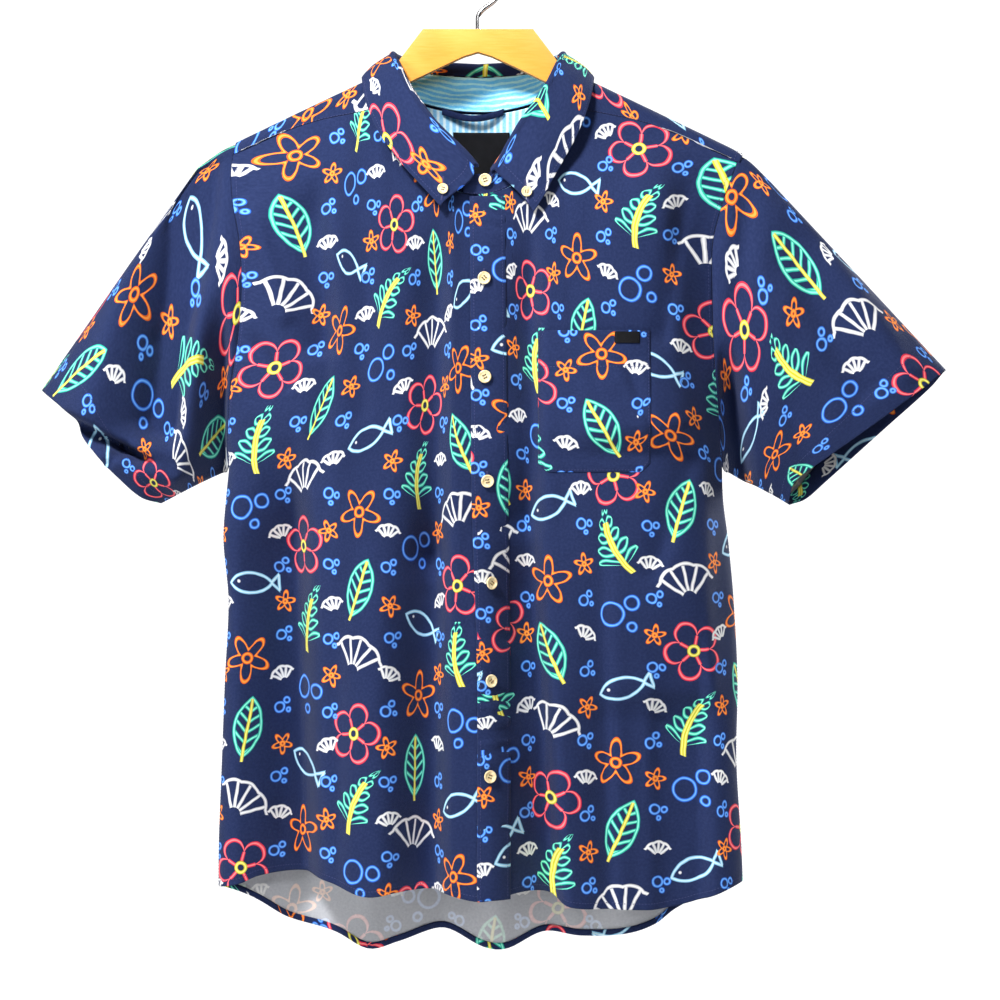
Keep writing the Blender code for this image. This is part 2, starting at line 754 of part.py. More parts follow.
def label_sheet(u, v):
    x = LABEL_LEFT_X + LABEL_WIDTH * u
    z = LABEL_TOP_Z - LABEL_HEIGHT * (1.0 - v)
    return moved_out(back_point, x, z, -(CLOTH + 3 * GAP + LINING + 2 * GAP))


def loop_sheet(u, v):
    x = LOOP_LEFT_X + LOOP_WIDTH * u
    sag = math.sin(math.pi * u)
    z = LOOP_TOP_Z - LOOP_SAG * sag - LOOP_TAPE * (1.0 - v)
    return moved_out(back_point, x, z, -(CLOTH + 3 * GAP + LINING + 4 * GAP + TAPE + 0.004 * sag))


cloth("neck_label", 6, 4, label_sheet, -TAPE, "black_tape")
cloth("hang_loop", 8, 1, loop_sheet, -TAPE)

# Sleeves.
for sleeve, sizes in SLEEVES.items():
    place_sleeve = sleeve_sheet(sizes["side"], sizes["tip"], sizes["low"], sizes["lift"])
    cloth(sleeve, 2 * len(SLEEVE_RING) - 2, 8, place_sleeve, tube=True)

# Collar: the stand's two layers, then the leaf.
stand_start, stand_end = -STAND_LAP, 2 * math.pi + STAND_LAP / 2
stand_step = (stand_end - stand_start) / STAND_COLUMNS
stand_outer = stand_sheet(stand_start, stand_end, 0.0)
stand_inner = stand_sheet(stand_start + stand_step, stand_end - stand_step, COLLAR_CLOTH + 5 * GAP)
cloth("collar_stand_outer", STAND_COLUMNS, 2, stand_outer, COLLAR_CLOTH)
cloth("collar_stand_inner", STAND_COLUMNS - 2, 2, stand_inner, COLLAR_CLOTH, "chambray")
cloth("collar_leaf", 30, 9, leaf_sheet, COLLAR_CLOTH)

# Buttons: one on the stand, six down the placket, one on each point of the leaf.
button("button_1", BUTTON_RADIUS, *on_sheet(stand_outer, STAND_BUTTON_ROUND, STAND_BUTTON_UP))
for number, height in enumerate(BUTTON_HEIGHTS, start=2):
    x = along(PLACKET, height, 3)
    outside = moved_out(front_point, x, height, 1.0) - front_point(x, height)
    centre = moved_out(front_point, x, height, CLOTH + 2 * GAP)
    button(f"button_{number}", BUTTON_RADIUS, centre, outside)
left_point = on_sheet(leaf_sheet, COLLAR_BUTTON_INSET, COLLAR_BUTTON_DOWN)
right_point = on_sheet(leaf_sheet, 1.0 - COLLAR_BUTTON_INSET, COLLAR_BUTTON_DOWN)
button("collar_button_left", COLLAR_BUTTON_RADIUS, *left_point)
button("collar_button_right", COLLAR_BUTTON_RADIUS, *right_point)


# Hanger: a flat wooden bow with a wire hook.
def bow_outline():
    """Half of the bow's outline, from the middle of its top, out and back under the arch."""
    outline = [(0.0, WOOD_TOP_Z), (WOOD_TOP_HALF, WOOD_TOP_Z), *WOOD_NECK]
    outline.append((WOOD_NECK_HALF, ridge(WOOD_NECK_HALF) - WOOD_CLEAR))
    last = WOOD_ARM_HALF - WOOD_ARM_DEPTH / 2
    for step in range(1, 5):
        x = WOOD_NECK_HALF + (last - WOOD_NECK_HALF) * step / 4
        outline.append((x, ridge(x) - WOOD_CLEAR))
    tip = WOOD_ARM_DEPTH / 2
    middle = ridge(last) - WOOD_CLEAR - tip
    for step in range(1, 6):
        angle = math.radians(WOOD_TIP_TURN - 180.0 * step / 6)
        outline.append((last + tip * math.cos(angle), middle + tip * math.sin(angle)))
    for x in (0.21, 0.15, 0.10, 0.06, 0.03, 0.012, 0.0):
        fall = math.hypot(x, WOOD_ARCH_PEAK) - WOOD_ARCH_PEAK
        outline.append((x, WOOD_ARCH_Z - WOOD_ARCH_SLOPE * fall))
    return outline


half = bow_outline()
whole = half + [(-x, z) for x, z in reversed(half[1:-1])]
outline = bpy.data.curves.new("hanger_body", "CURVE")
outline.dimensions = "2D"
outline.fill_mode = "BOTH"
outline.extrude = WOOD_THICKNESS / 2
spline = outline.splines.new("POLY")
spline.points.add(len(whole) - 1)
for point, (x, z) in zip(spline.points, whole):
    point.co = (x, z, 0.0, 1.0)
spline.use_cyclic_u = True
bow = add("hanger_body", outline, "blonde_wood")
bow.rotation_euler = (math.pi / 2, 0.0, 0.0)
weld = bow.modifiers.new("weld", "WELD")
weld.merge_threshold = 0.00001
soft = bow.modifiers.new("soft", "BEVEL")
soft.width = WOOD_EDGE
soft.segments = 2
soft.limit_method = "ANGLE"
soft.angle_limit = math.radians(60.0)

wire = bpy.data.curves.new("hanger_hook", "CURVE")
wire.dimensions = "3D"
wire.bevel_depth = HOOK_WIRE
wire.bevel_resolution = 2
wire.use_fill_caps = True
radius = HOOK_INSIDE + HOOK_WIRE


def on_hook(angle):
    """A point of the hook's round part, whose inside top is the origin."""
    return Vector((radius * math.cos(angle), 0.0, radius * math.sin(angle) - HOOK_INSIDE))


knee = Vector((0.0, 0.0, WOOD_TOP_Z + HOOK_SHANK))
bend = on_hook(HOOK_START)
pull_up = knee + Vector((0.0, 0.0, HOOK_PULL))
pull_back = bend - Vector((-math.sin(HOOK_START), 0.0, math.cos(HOOK_START))) * HOOK_PULL
route = [Vector((0.0, 0.0, WOOD_TOP_Z + GAP))]
for step in range(9):
    t = step / 8
    near_knee = knee * (1 - t) ** 3 + pull_up * (3 * t * (1 - t) ** 2)
    near_bend = pull_back * (3 * t * t * (1 - t)) + bend * t**3
    route.append(near_knee + near_bend)
for step in range(1, 29):
    route.append(on_hook(HOOK_START + HOOK_SWEEP * step / 28))
spline = wire.splines.new("POLY")
spline.points.add(len(route) - 1)
for point, place in zip(spline.points, route):
    point.co = (*place, 1.0)
add("hanger_hook", wire, "bright_steel")
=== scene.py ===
"""A short-sleeved button-down shirt in printed poplin, buttoned up on a wooden hanger."""

import math

import bmesh
import bpy
from mathutils import Matrix, Vector, noise


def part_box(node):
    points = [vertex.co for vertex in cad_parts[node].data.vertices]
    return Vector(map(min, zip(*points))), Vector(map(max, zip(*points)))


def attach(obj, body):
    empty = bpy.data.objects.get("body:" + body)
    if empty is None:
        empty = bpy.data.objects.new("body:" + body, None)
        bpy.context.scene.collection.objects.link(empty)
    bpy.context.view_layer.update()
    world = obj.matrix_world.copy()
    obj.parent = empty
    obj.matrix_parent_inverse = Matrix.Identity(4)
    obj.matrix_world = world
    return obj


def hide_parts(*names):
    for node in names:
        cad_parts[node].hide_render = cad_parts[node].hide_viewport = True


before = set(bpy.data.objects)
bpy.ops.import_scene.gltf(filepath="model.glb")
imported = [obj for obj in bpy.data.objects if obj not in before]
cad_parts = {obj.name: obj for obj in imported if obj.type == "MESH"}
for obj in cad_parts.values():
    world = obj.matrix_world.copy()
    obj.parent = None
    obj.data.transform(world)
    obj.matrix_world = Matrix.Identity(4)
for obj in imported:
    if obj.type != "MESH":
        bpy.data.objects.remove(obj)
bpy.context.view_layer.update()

# The studio: a pale floor well below the hem, an even white surround, a soft lamp high on
# the left, a weaker one low on the left, one on the right and one behind. The camera is level
# with the middle of the shirt.
CAMERA_PLACE = (0.0198, -2.6, -0.481)
CAMERA_WIDTH = 0.9
FLOOR_Z = -1.7
SURROUND_SEEN = 1.0
SURROUND_LIGHT = 0.05
# Lamp, place, size, power.
LAMPS = (
    ("key_lamp", (-0.92, -1.36, 1.18), 0.4, 72.0),
    ("low_lamp", (-1.7, -1.9, -0.35), 0.7, 19.0),
    ("fill_lamp", (0.9, -2.4, 1.0), 0.9, 17.0),
    ("back_lamp", (1.75, 1.35, 0.25), 1.0, 62.0),
)

scene = bpy.context.scene
scene.view_settings.view_transform = "Standard"
scene.view_settings.look = "Medium High Contrast"

camera = bpy.data.objects.new("camera", bpy.data.cameras.new("camera"))
camera.location = CAMERA_PLACE
camera.rotation_euler = (math.pi / 2, 0.0, 0.0)
camera.data.lens = camera.data.sensor_width * -CAMERA_PLACE[1] / CAMERA_WIDTH
scene.collection.objects.link(camera)
scene.camera = camera

shirt_middle = Vector((CAMERA_PLACE[0], 0.0, CAMERA_PLACE[2]))
for lamp_name, lamp_place, lamp_size, power in LAMPS:
    lamp = bpy.data.objects.new(lamp_name, bpy.data.lights.new(lamp_name, "AREA"))
    lamp.data.size = lamp_size
    lamp.data.energy = power
    lamp.location = lamp_place
    lamp.rotation_euler = (shirt_middle - lamp.location).to_track_quat("-Z", "Y").to_euler()
    scene.collection.objects.link(lamp)

surround = bpy.data.worlds.new("surround")
surround.use_nodes = True
sky = surround.node_tree.nodes["Background"]
seen = surround.node_tree.nodes.new("ShaderNodeLightPath")
brightness = surround.node_tree.nodes.new("ShaderNodeMapRange")
brightness.inputs["To Min"].default_value = SURROUND_LIGHT
brightness.inputs["To Max"].default_value = SURROUND_SEEN
surround.node_tree.links.new(seen.outputs["Is Camera Ray"], brightness.inputs["Value"])
surround.node_tree.links.new(brightness.outputs["Result"], sky.inputs["Strength"])
sky.inputs["Color"].default_value = (1.0, 1.0, 1.0, 1.0)
scene.world = surround


def mesh_of(name, shape):
    """The finished mesh of a shape."""
    mesh = bpy.data.meshes.new(name)
    shape.to_mesh(mesh)
    shape.free()
    return mesh


FLOOR_HALF = 3.0
floor_shape = bmesh.new()
bmesh.ops.create_grid(floor_shape, x_segments=1, y_segments=1, size=FLOOR_HALF)
bmesh.ops.translate(floor_shape, verts=floor_shape.verts, vec=(0.0, 0.0, FLOOR_Z))
floor_mesh = mesh_of("floor", floor_shape)
floor = bpy.data.objects.new("floor", floor_mesh)
floor_paint = bpy.data.materials.new("pale floor")
floor_paint.use_nodes = True
floor_shader = floor_paint.node_tree.nodes["Principled BSDF"]
floor_shader.inputs["Base Color"].default_value = (0.82, 0.82, 0.82, 1.0)
floor_shader.inputs["Roughness"].default_value = 0.9
floor_shader.inputs["Emission Color"].default_value = (1.0, 1.0, 1.0, 1.0)
floor_shader.inputs["Emission Strength"].default_value = 0.22
floor_mesh.materials.append(floor_paint)
scene.collection.objects.link(floor)


# The printed poplin of the fronts and of every other outer piece: navy cotton, screen
# printed in bright lines with a light core, and pale grey on its wrong side, where the
# print shows faintly. It shows ferns, leaves, flowers, starfish, shells, fish and bubbles.
def sum_by(operation):
    """A method that puts an amount and others through a sum."""
    return lambda amount, *others: amount.maths(operation, *others)


class Amount:
    """A number, vector or colour that varies over a surface, for sums on its nodes."""

    def __init__(self, finish, socket):
        self.finish = finish
        self.socket = socket

    def maths(self, operation, *others):
        inputs = dict(enumerate((self, *others)))
        return self.finish.add("ShaderNodeMath", {"operation": operation}, inputs)

    def __rsub__(self, other):
        return self.finish.add("ShaderNodeMath", {"operation": "SUBTRACT"}, {0: other, 1: self})

    __add__, __sub__ = sum_by("ADD"), sum_by("SUBTRACT")
    __mul__, __truediv__ = sum_by("MULTIPLY"), sum_by("DIVIDE")
    __pow__, __mod__, __abs__ = sum_by("POWER"), sum_by("FLOORED_MODULO"), sum_by("ABSOLUTE")
    __lt__, __gt__ = sum_by("LESS_THAN"), sum_by("GREATER_THAN")
    least, most = sum_by("MINIMUM"), sum_by("MAXIMUM")
    sine, cosine = sum_by("SINE"), sum_by("COSINE")

    def part(self, letter):
        return self.finish.add("ShaderNodeSeparateXYZ", {}, {"Vector": self}, letter)

    def ramp(self, low, high, to_low=0.0, to_high=1.0):
        """Goes softly from to_low to to_high as this goes from low to high."""
        inputs = {"Value": self, "From Min": low, "From Max": high, "To Min": to_low, "To Max": to_high}
        return self.finish.add("ShaderNodeMapRange", {"interpolation_type": "SMOOTHSTEP"}, inputs)

    def mixed(self, first, second):
        """The first colour where this is 0, the second where it is 1."""
        inputs = {"Factor": self, 6: first, 7: second}
        return self.finish.add("ShaderNodeMix", {"data_type": "RGBA"}, inputs, 2)


class Finish:
    """A material's nodes. Numbers and colours that don't vary are set on its shader."""

    def __init__(self, name, colour, roughness, **uniform):
        self.material = bpy.data.materials.new(name)
        self.material.use_nodes = True
        self.tree = self.material.node_tree
        self.shader = self.tree.nodes["Principled BSDF"]
        self.shader.inputs["Base Color"].default_value = (*colour, 1.0)
        self.shader.inputs["Roughness"].default_value = roughness
        for label, value in uniform.items():
            self.shader.inputs[label.replace("_", " ")].default_value = value

    def add(self, kind, settings, inputs, output=0):
        """Adds a node: its settings first, then the values or links of its sockets."""
        node = self.tree.nodes.new(kind)
        for label, value in settings.items():
            setattr(node, label, value)
        for label, value in inputs.items():
            if isinstance(value, Amount):
                self.tree.links.new(value.socket, node.inputs[label])
            elif isinstance(value, tuple) and node.inputs[label].type == "RGBA":
                node.inputs[label].default_value = (*value, 1.0)
            else:
                node.inputs[label].default_value = value
        return Amount(self, node.outputs[output])

    def noise(self, where, scale, detail=2.0, output="Fac"):
        return self.add("ShaderNodeTexNoise", {}, {"Vector": where, "Scale": scale, "Detail": detail}, output)

    def joined(self, x, y, z):
        return self.add("ShaderNodeCombineXYZ", {}, {"X": x, "Y": y, "Z": z})

    def cut(self):
        """Place on the flat cut piece, in metres."""
        return self.add("ShaderNodeUVMap", {"uv_map": "cut"}, {})

    def place(self):
        """Place on the hanging shirt, in metres."""
        return self.add("ShaderNodeTexCoord", {}, {}, "Object")

    def feed(self, label, amount):
        self.tree.links.new(amount.socket, self.shader.inputs[label])

    def bump(self, height, distance):
        self.feed("Normal", self.add("ShaderNodeBump", {}, {"Height": height, "Distance": distance}))


NAVY = (0.017, 0.03, 0.096)
NAVY_WORN = (0.024, 0.039, 0.115)
WRONG_SIDE = (0.57, 0.58, 0.61)
GHOST = (0.95, 0.95, 0.92)
INKS = {
    "coral": ((0.8, 0.04, 0.085), (1.0, 0.27, 0.29)),
    "teal": ((0.03, 0.5, 0.37), (0.3, 0.86, 0.68)),
    "orange": ((0.86, 0.16, 0.015), (1.0, 0.38, 0.08)),
    "white": ((0.6, 0.6, 0.63), (0.88, 0.88, 0.88)),
    "pale blue": ((0.27, 0.55, 0.78), (0.6, 0.82, 0.92)),
    "blue": ((0.035, 0.15, 0.66), (0.18, 0.44, 0.9)),
    "yellow": ((0.7, 0.64, 0.04), (0.92, 0.87, 0.26)),
}
YARN = 0.0006
WEAVE_DEPTH = 0.0007
REPEAT = 0.064
LINE = 0.0015
CORE = 0.00066
SOFT = 0.00022
FAR = 1.0
WOBBLE = 0.002
STRAY = 0.006
SMALL = 0.42
MOST_TURN = 1.1
THINNER = 0.00022
SHOWS_THROUGH = 0.88
FADED = 0.72


def length_from(x, y, centre_x=0.0, centre_y=0.0):
    dx, dy = x - centre_x, y - centre_y
    return (dx * dx + dy * dy).maths("SQRT")


def fern(x, y):
    """Slanting leaflets on a bent double stem."""
    bent = x - y * y * 8.0
    from_stem = abs(bent)
    slant = (y - from_stem * 0.62) % 0.013 - 0.0065
    reach = (0.0165 - y * 0.42).least(y * 2.2 + 0.042)
    plump = (from_stem / reach * math.pi).sine().most(0.0) * 0.0042
    leaflets = abs(abs(slant) - plump) * 0.85 + (from_stem > reach) * FAR
    stem = abs(from_stem - 0.0013) + (abs(y + 0.003) > 0.0245) * FAR
    return leaflets, stem


def leaf(x, y):
    """A broad leaf with a midrib and slanting veins."""
    inside = length_from(x, y, 0.0215).most(length_from(x, y, -0.0215))
    outline = abs(inside - 0.034)
    slant = abs((y - abs(x) * 0.8) % 0.0095 - 0.00475) * 0.8 + (inside > 0.0325) * FAR
    midrib = abs(x) + (abs(y + 0.003) > 0.0285) * FAR
    return outline.least(slant), midrib


def flower(x, y):
    """Five notched petals round a ring."""
    r = length_from(x, y)
    lobe = abs((y.maths("ARCTAN2", x) * 2.5).cosine())
    petals = abs(r - (lobe**0.55 * 0.013 + 0.013)) * 0.8
    veins = r * lobe * 0.4 + (r > 0.014) * FAR + (r < 0.006) * FAR
    return petals.least(veins), abs(r - 0.0044)


def starfish(x, y):
    r = length_from(x, y)
    turn = y.maths("ARCTAN2", x) * 5.0
    arms = abs(r - (turn.cosine() * 0.0066 + 0.0145)) * 0.75
    return arms.least(abs(r - 0.004)), None


def shell(x, y):
    """A scallop: a fan of ribs from its hinge."""
    down = y + 0.0155
    r = length_from(x, down)
    turn = x.maths("ARCTAN2", down)
    rim = abs(r - (abs((turn * 5.0).cosine()) * 0.0018 + 0.03))
    ribs = abs((turn + 0.21) % 0.42 - 0.21) * r + (r < 0.007) * FAR + (r > 0.03) * FAR
    return rim.least(ribs) + (abs(turn) > 1.08) * FAR, None


def fish(x, y):
    """A lens-shaped body, a forked tail and an eye."""
    body = abs(length_from(x, y, 0.0, 0.018).most(length_from(x, y, 0.0, -0.018)) - 0.0272)
    tail_x = x - 0.0195
    tail = abs(abs(y) - tail_x * 0.85) * 0.75 + (tail_x < 0.0) * FAR + (tail_x > 0.0085) * FAR
    fin = abs(tail_x - 0.008) + (abs(y) > 0.0072) * FAR
    return body.least(tail).least(fin), length_from(x, y, -0.011, 0.0015)


def bubbles(x, y):
    large = abs(length_from(x, y, -0.006, 0.004) - 0.01)
    middle = abs(length_from(x, y, 0.013, 0.011) - 0.006)
    small = abs(length_from(x, y, 0.009, -0.01) - 0.0038)
    return large.least(middle).least(small), None


MOTIFS = (
    (fern, "teal", "yellow"),
    (flower, "coral", "yellow"),
    (shell, "white", None),
    (leaf, "teal", "yellow"),
    (starfish, "orange", None),
    (fish, "pale blue", "white"),
    (bubbles, "blue", None),
)
FILLERS = (MOTIFS[4], MOTIFS[6], MOTIFS[2], MOTIFS[6])


def print_on(finish, ground, faded=0.0):
    """The colours of the print on a ground: large motifs in a half drop, small ones between."""
    ghost = Vector(GHOST)
    inks = {name: [tuple(Vector(tone).lerp(ghost, faded)) for tone in tones] for name, tones in INKS.items()}
    cut = finish.cut()
    hand = finish.noise(cut, 75.0, 1.0, "Color")
    x = cut.part("X") + (hand.part("X") - 0.5) * WOBBLE
    y = cut.part("Y") + (hand.part("Y") - 0.5) * WOBBLE
    colour = ground
    layers = ((MOTIFS, 1.0, REPEAT, 0.0, 0.5, STRAY), (FILLERS, SMALL, REPEAT / 2, 0.5, 0.0, STRAY / 2))
    for layer, (motifs, size, rise, start, drop, stray) in enumerate(layers):
        across = x / REPEAT + start
        column = across.maths("FLOOR")
        upward = y / rise + column * drop
        row = upward.maths("FLOOR")
        spot = finish.joined(column, row, float(layer))
        chance = finish.add("ShaderNodeTexWhiteNoise", {}, {"Vector": spot}, "Color")
        local_x = ((across - column - 0.5) * REPEAT - (chance.part("X") - 0.5) * stray) / size
        local_y = ((upward - row - 0.5) * rise - (chance.part("Y") - 0.5) * stray) / size
        turn = (chance.part("Z") - 0.5) * MOST_TURN
        cosine, sine = turn.cosine(), turn.sine()
        own_x = local_x * cosine - local_y * sine
        own_y = local_x * sine + local_y * cosine
        pick = (column * 2.0 + row) % len(motifs)
        for number, (motif, ink, accent) in enumerate(motifs):
            elsewhere = (abs(pick - float(number)) > 0.5) * FAR
            for distance, name in zip(motif(own_x, own_y), (ink, accent)):
                if distance is None or name is None:
                    continue
                line = (LINE - THINNER * layer) / size
                distance = distance + elsewhere
                inked = distance.ramp(line + SOFT / size, line - SOFT / size)
                cored = distance.ramp((CORE + SOFT) / size, (CORE - SOFT) / size)
                colour = inked.mixed(colour, cored.mixed(*inks[name]))
    return colour


def woven(finish, yarn, depth):
    """Plain weave: yarns over and under, uneven, with a fine crinkle. Gives the unevenness."""
    cut = finish.cut()
    warp = (cut.part("X") * (2 * math.pi / yarn)).sine()
    weft = (cut.part("Y") * (2 * math.pi / yarn)).sine()
    slub = finish.noise(cut, 420.0)
    crinkle = finish.noise(cut, 38.0, 4.0)
    finish.bump(warp * weft * 0.12 + slub * 0.4 + crinkle * 2.4, depth)
    return slub


def poplin():
    finish = Finish("printed poplin", NAVY, 0.76, Specular_IOR_Level=0.22, Sheen_Weight=0.08,
                    Sheen_Roughness=0.45)
    slub = woven(finish, YARN, WEAVE_DEPTH)
    finish.feed("Base Color", print_on(finish, slub.ramp(0.3, 0.75).mixed(NAVY, NAVY_WORN)))
    return finish.material


def poplin_wrong_side():
    finish = Finish("poplin wrong side", WRONG_SIDE, 0.9, Specular_IOR_Level=0.2)
    slub = woven(finish, YARN, WEAVE_DEPTH)
    through = {"Factor": SHOWS_THROUGH, 6: WRONG_SIDE, 7: print_on(finish, WRONG_SIDE, FADED)}
    ground = finish.add("ShaderNodeMix", {"data_type": "RGBA"}, through, 2)
    finish.feed("Base Color", slub.ramp(0.1, 0.9, 0.0, 0.16).mixed(ground, NAVY_WORN))
    return finish.material


def spun(name, colour, roughness, twist, *tones):
    """Sewing thread, whose twist shows as darker and paler flecks."""
    finish = Finish(name, colour, roughness)
    finish.feed("Base Color", finish.noise(finish.place(), twist).mixed(*tones))
    return finish.material


POPLIN = poplin()
POPLIN_WRONG_SIDE = poplin_wrong_side()
THREAD = spun("navy thread", (0.05, 0.056, 0.17), 0.6, 1600.0, (0.035, 0.04, 0.125), (0.06, 0.066, 0.185))


# The two fronts: each is cut with a curved neck, a shoulder seam below the yoke, a deep
# armhole and a curved hem. They hang from the yoke in long soft folds, and a narrow hem is
# turned up twice inside and stitched.
RIDGE_TOP = -0.0532
RIDGE_SLOPE = 0.4868
RIDGE_BLEND = 0.03
SHOULDER_ROLL = 0.009
FRONT_DEPTH = 0.049
DEPTH_DROP = 0.1
NECK_HALF = 0.084
NECK_FRONT_Z = -0.2098
NECK_BACK_Z = -0.13
NECK_CORNER = math.radians(74.0)
CLOTH = 0.0008
THIN = 0.0005
LAYER = 0.0002
UNDERLAP = 0.016
UNDER_TUCK = 0.0026
TUCK_WIDTH = 0.02
BODY_Z = -0.5
BODY_LENGTH = 0.64
HEM_TURN = 0.0058
EDGE = 0.0012
HEIGHTS_SEARCHED = (-0.95, -0.05)
HALVINGS = 24
RUMPLE_START = 0.02
RUMPLE_SPAN = 0.06
RUMPLE_SLOW = 0.003
RUMPLE_QUICK = 0.0013
SLOW_WAVES = (15.0, 6.0)
QUICK_WAVES = (44.0, 21.0)
SWELL_POWER = 1.2
FOLD_START, FOLD_END = 0.3, 0.1
WELD = 0.00002
CORNER_BLEND = 0.01


def metres(*rows):
    """Rows that are given in millimetres, in metres."""
    return [[round(value / 1000, 6) for value in line] for line in rows]


# Half width of the body: z, wearer's right, wearer's left.
SIDES = metres(
    (-830, 233.5, 238.5), (-787, 233.1, 236.7), (-715, 230.4, 232.5), (-643, 227.7, 233.5),
    (-571, 224.5, 230), (-517, 229, 225), (-481, 226.8, 220.5), (-452, 224, 219.6),
)
# Armhole seam: z, half width on the wearer's right and left, turn of the section there.
ARMHOLES = (
    (-0.452, 0.224, 0.2196, 90.0), (-0.427, 0.2245, 0.2178, 84.0), (-0.385, 0.222, 0.214, 75.0),
    (-0.34, 0.215, 0.2105, 67.0), (-0.29, 0.211, 0.209, 60.0), (-0.25, 0.213, 0.21, 53.0),
    (-0.215, 0.219, 0.219, 42.0), (-0.185, 0.221, 0.23, 30.0), (-0.16, 0.217, 0.239, 22.0),
)
# Drop of the front yoke seam below the shoulder line: half width, drop.
YOKE_FRONT = metres(
    (78, 34), (108, 26), (144, 16), (180, 11), (240, 10),
)
# Front hem, from the wearer's right to the left: x, z.
FRONT_HEM = metres(
    (-233.5, -828.4), (-214, -825), (-198, -819), (-169, -816.5), (-135, -819.5),
    (-100.8, -831.3), (-70.2, -828.7), (-34.2, -829), (0, -835.8), (37.8, -830),
    (63, -832), (81, -842), (120.6, -845.7), (163.8, -846.5), (199.8, -838.5),
    (238.5, -823),
)
# Folds of the front: x and z at the top and bottom, half widths on the wearer's right and
# left of it, height outwards.
FRONT_FOLDS = metres(
    (-36, -215, -38, -560, 20, 9, -18), (-37, -430, -41, -900, 28, 9, -34),
    (46, -215, 50, -520, 20, 7, -16), (40, -430, 70, -900, 34, 8, -39),
    (-148, -185, -136, -360, 24, 10, -17), (-170, -400, -156, -900, 50, 14, -80),
    (-218, -470, -218, -900, 16, 10, 8), (-88, -480, -86, -900, 36, 18, 9),
    (10, -480, 14, -900, 22, 24, 6), (196, -560, 196, -900, 80, 12, -32),
    (156, -150, 176, -440, 80, 26, 27), (200, -330, 202, -680, 85, 14, 24),
    (-208, -200, -170, -330, 8, 10, 7), (124, -350, 156, -425, 4, 8, -3.4),
    (188, -185, 162, -350, 12, 8, -7), (-210, -330, -165, -385, 5, 9, -10),
    (-215, -400, -150, -520, 12, 9, -8), (205, -400, 150, -560, 14, 9, -7),
    (-130, -260, -142, -480, 12, 8, -4.6), (-95, -230, -105, -420, 12, 10, -5),
    (108, -500, 118, -880, 18, 8, -9), (150, -600, 156, -880, 10, 8, 5),
    (-125, -560, -126, -880, 14, 8, -7),
)


def blend(t):
    """0 to 1 with a soft start and end."""
    t = min(1.0, max(0.0, t))
    return t * t * (3.0 - 2.0 * t)


def hump(t):
    """0 to 1 and back to 0, like half a wave."""
    return math.sin(math.pi * t)


def bell(t):
    """1 in the middle, falling softly away on both sides."""
    return math.exp(-(t**2))


def along(table, key, column):
    """A table's column at a key, curving smoothly through the rows, whose keys rise."""
    row = 0
    while row < len(table) - 2 and key > table[row + 1][0]:
        row += 1
    here, there = table[row], table[row + 1]
    before, after = table[max(0, row - 1)], table[min(len(table) - 1, row + 2)]
    span = there[0] - here[0]
    t = min(1.0, max(0.0, (key - here[0]) / span))
    start = (there[column] - before[column]) / (there[0] - before[0]) * span
    end = (after[column] - here[column]) / (after[0] - here[0]) * span
    rise = there[column] - here[column]
    return here[column] + t * (start + t * (3 * rise - 2 * start - end + t * (start + end - 2 * rise)))


def ridge(x):
    """Height of the shoulder line."""
    return RIDGE_TOP - RIDGE_SLOPE * math.hypot(x, RIDGE_BLEND)


def half_width(x, z):
    """Half width of the section's ellipse, which the armhole cuts short above the underarm."""
    side = 1 if x < 0 else 2
    if z <= ARMHOLES[0][0]:
        return along(SIDES, z, side)
    return along(ARMHOLES, z, side) / math.sin(math.radians(along(ARMHOLES, z, 3)))


def edge_turn(z):
    """Angle of the section at the panel's side edge."""
    return math.radians(90.0 if z <= ARMHOLES[0][0] else along(ARMHOLES, z, 3))


def folds(table, x, z):
    """Sum of a table's soft folds at a point."""
    total = 0.0
    for x_top, z_top, x_bottom, z_bottom, right, left, height in table:
        run_x, run_z = x_bottom - x_top, z_bottom - z_top
        length = math.hypot(run_x, run_z)
        t = ((x - x_top) * run_x + (z - z_top) * run_z) / length**2
        if 0.0 < t < 1.0:
            away = ((z - z_top) * run_x - (x - x_top) * run_z) / length
            strength = blend(t / FOLD_START) * blend((1.0 - t) / FOLD_END)
            total += height * strength * bell(away / (right if away < 0.0 else left))
    return total


def rumple(x, z, seed):
    """Small uneven waves of worn cotton, longer down the cloth than across."""
    slow = noise.noise(Vector((x * SLOW_WAVES[0], z * SLOW_WAVES[1], seed)))
    quick = noise.noise(Vector((x * QUICK_WAVES[0], z * QUICK_WAVES[1], seed + 9.0)))
    return RUMPLE_SLOW * slow + RUMPLE_QUICK * quick


def reach(drop, depth):
    """Distance of the cloth from the hanger's plane at a drop below the shoulder line."""
    if drop < SHOULDER_ROLL:
        return math.sqrt(max(0.0, SHOULDER_ROLL**2 - (SHOULDER_ROLL - drop) ** 2))
    swell = 1.0 - math.exp(-(((drop - SHOULDER_ROLL) / DEPTH_DROP) ** SWELL_POWER))
    return SHOULDER_ROLL + (depth - SHOULDER_ROLL) * swell


def out_by(x, z, depth, table, seed, swell=0.0):
    """Distance of the body's outer face from the hanger's plane, which closes at its sides."""
    drop = ridge(x) - z
    out = reach(drop, depth) + swell + folds(table, x, z)
    out += rumple(x, z, seed) * blend((drop - RUMPLE_START) / RUMPLE_SPAN)
    return out * math.sqrt(max(0.0, 1.0 - (x / half_width(x, z)) ** 2))


def front_point(x, z):
    """The fronts' outer face."""
    return Vector((x, -out_by(x, z, FRONT_DEPTH, FRONT_FOLDS, 1.0), z))


def normal_of(face, across, up, step):
    """Normal of a face, from points a step each way."""
    over_across = face(across + step, up) - face(across - step, up)
    over_up = face(across, up + step) - face(across, up - step)
    return over_across.cross(over_up).normalized()


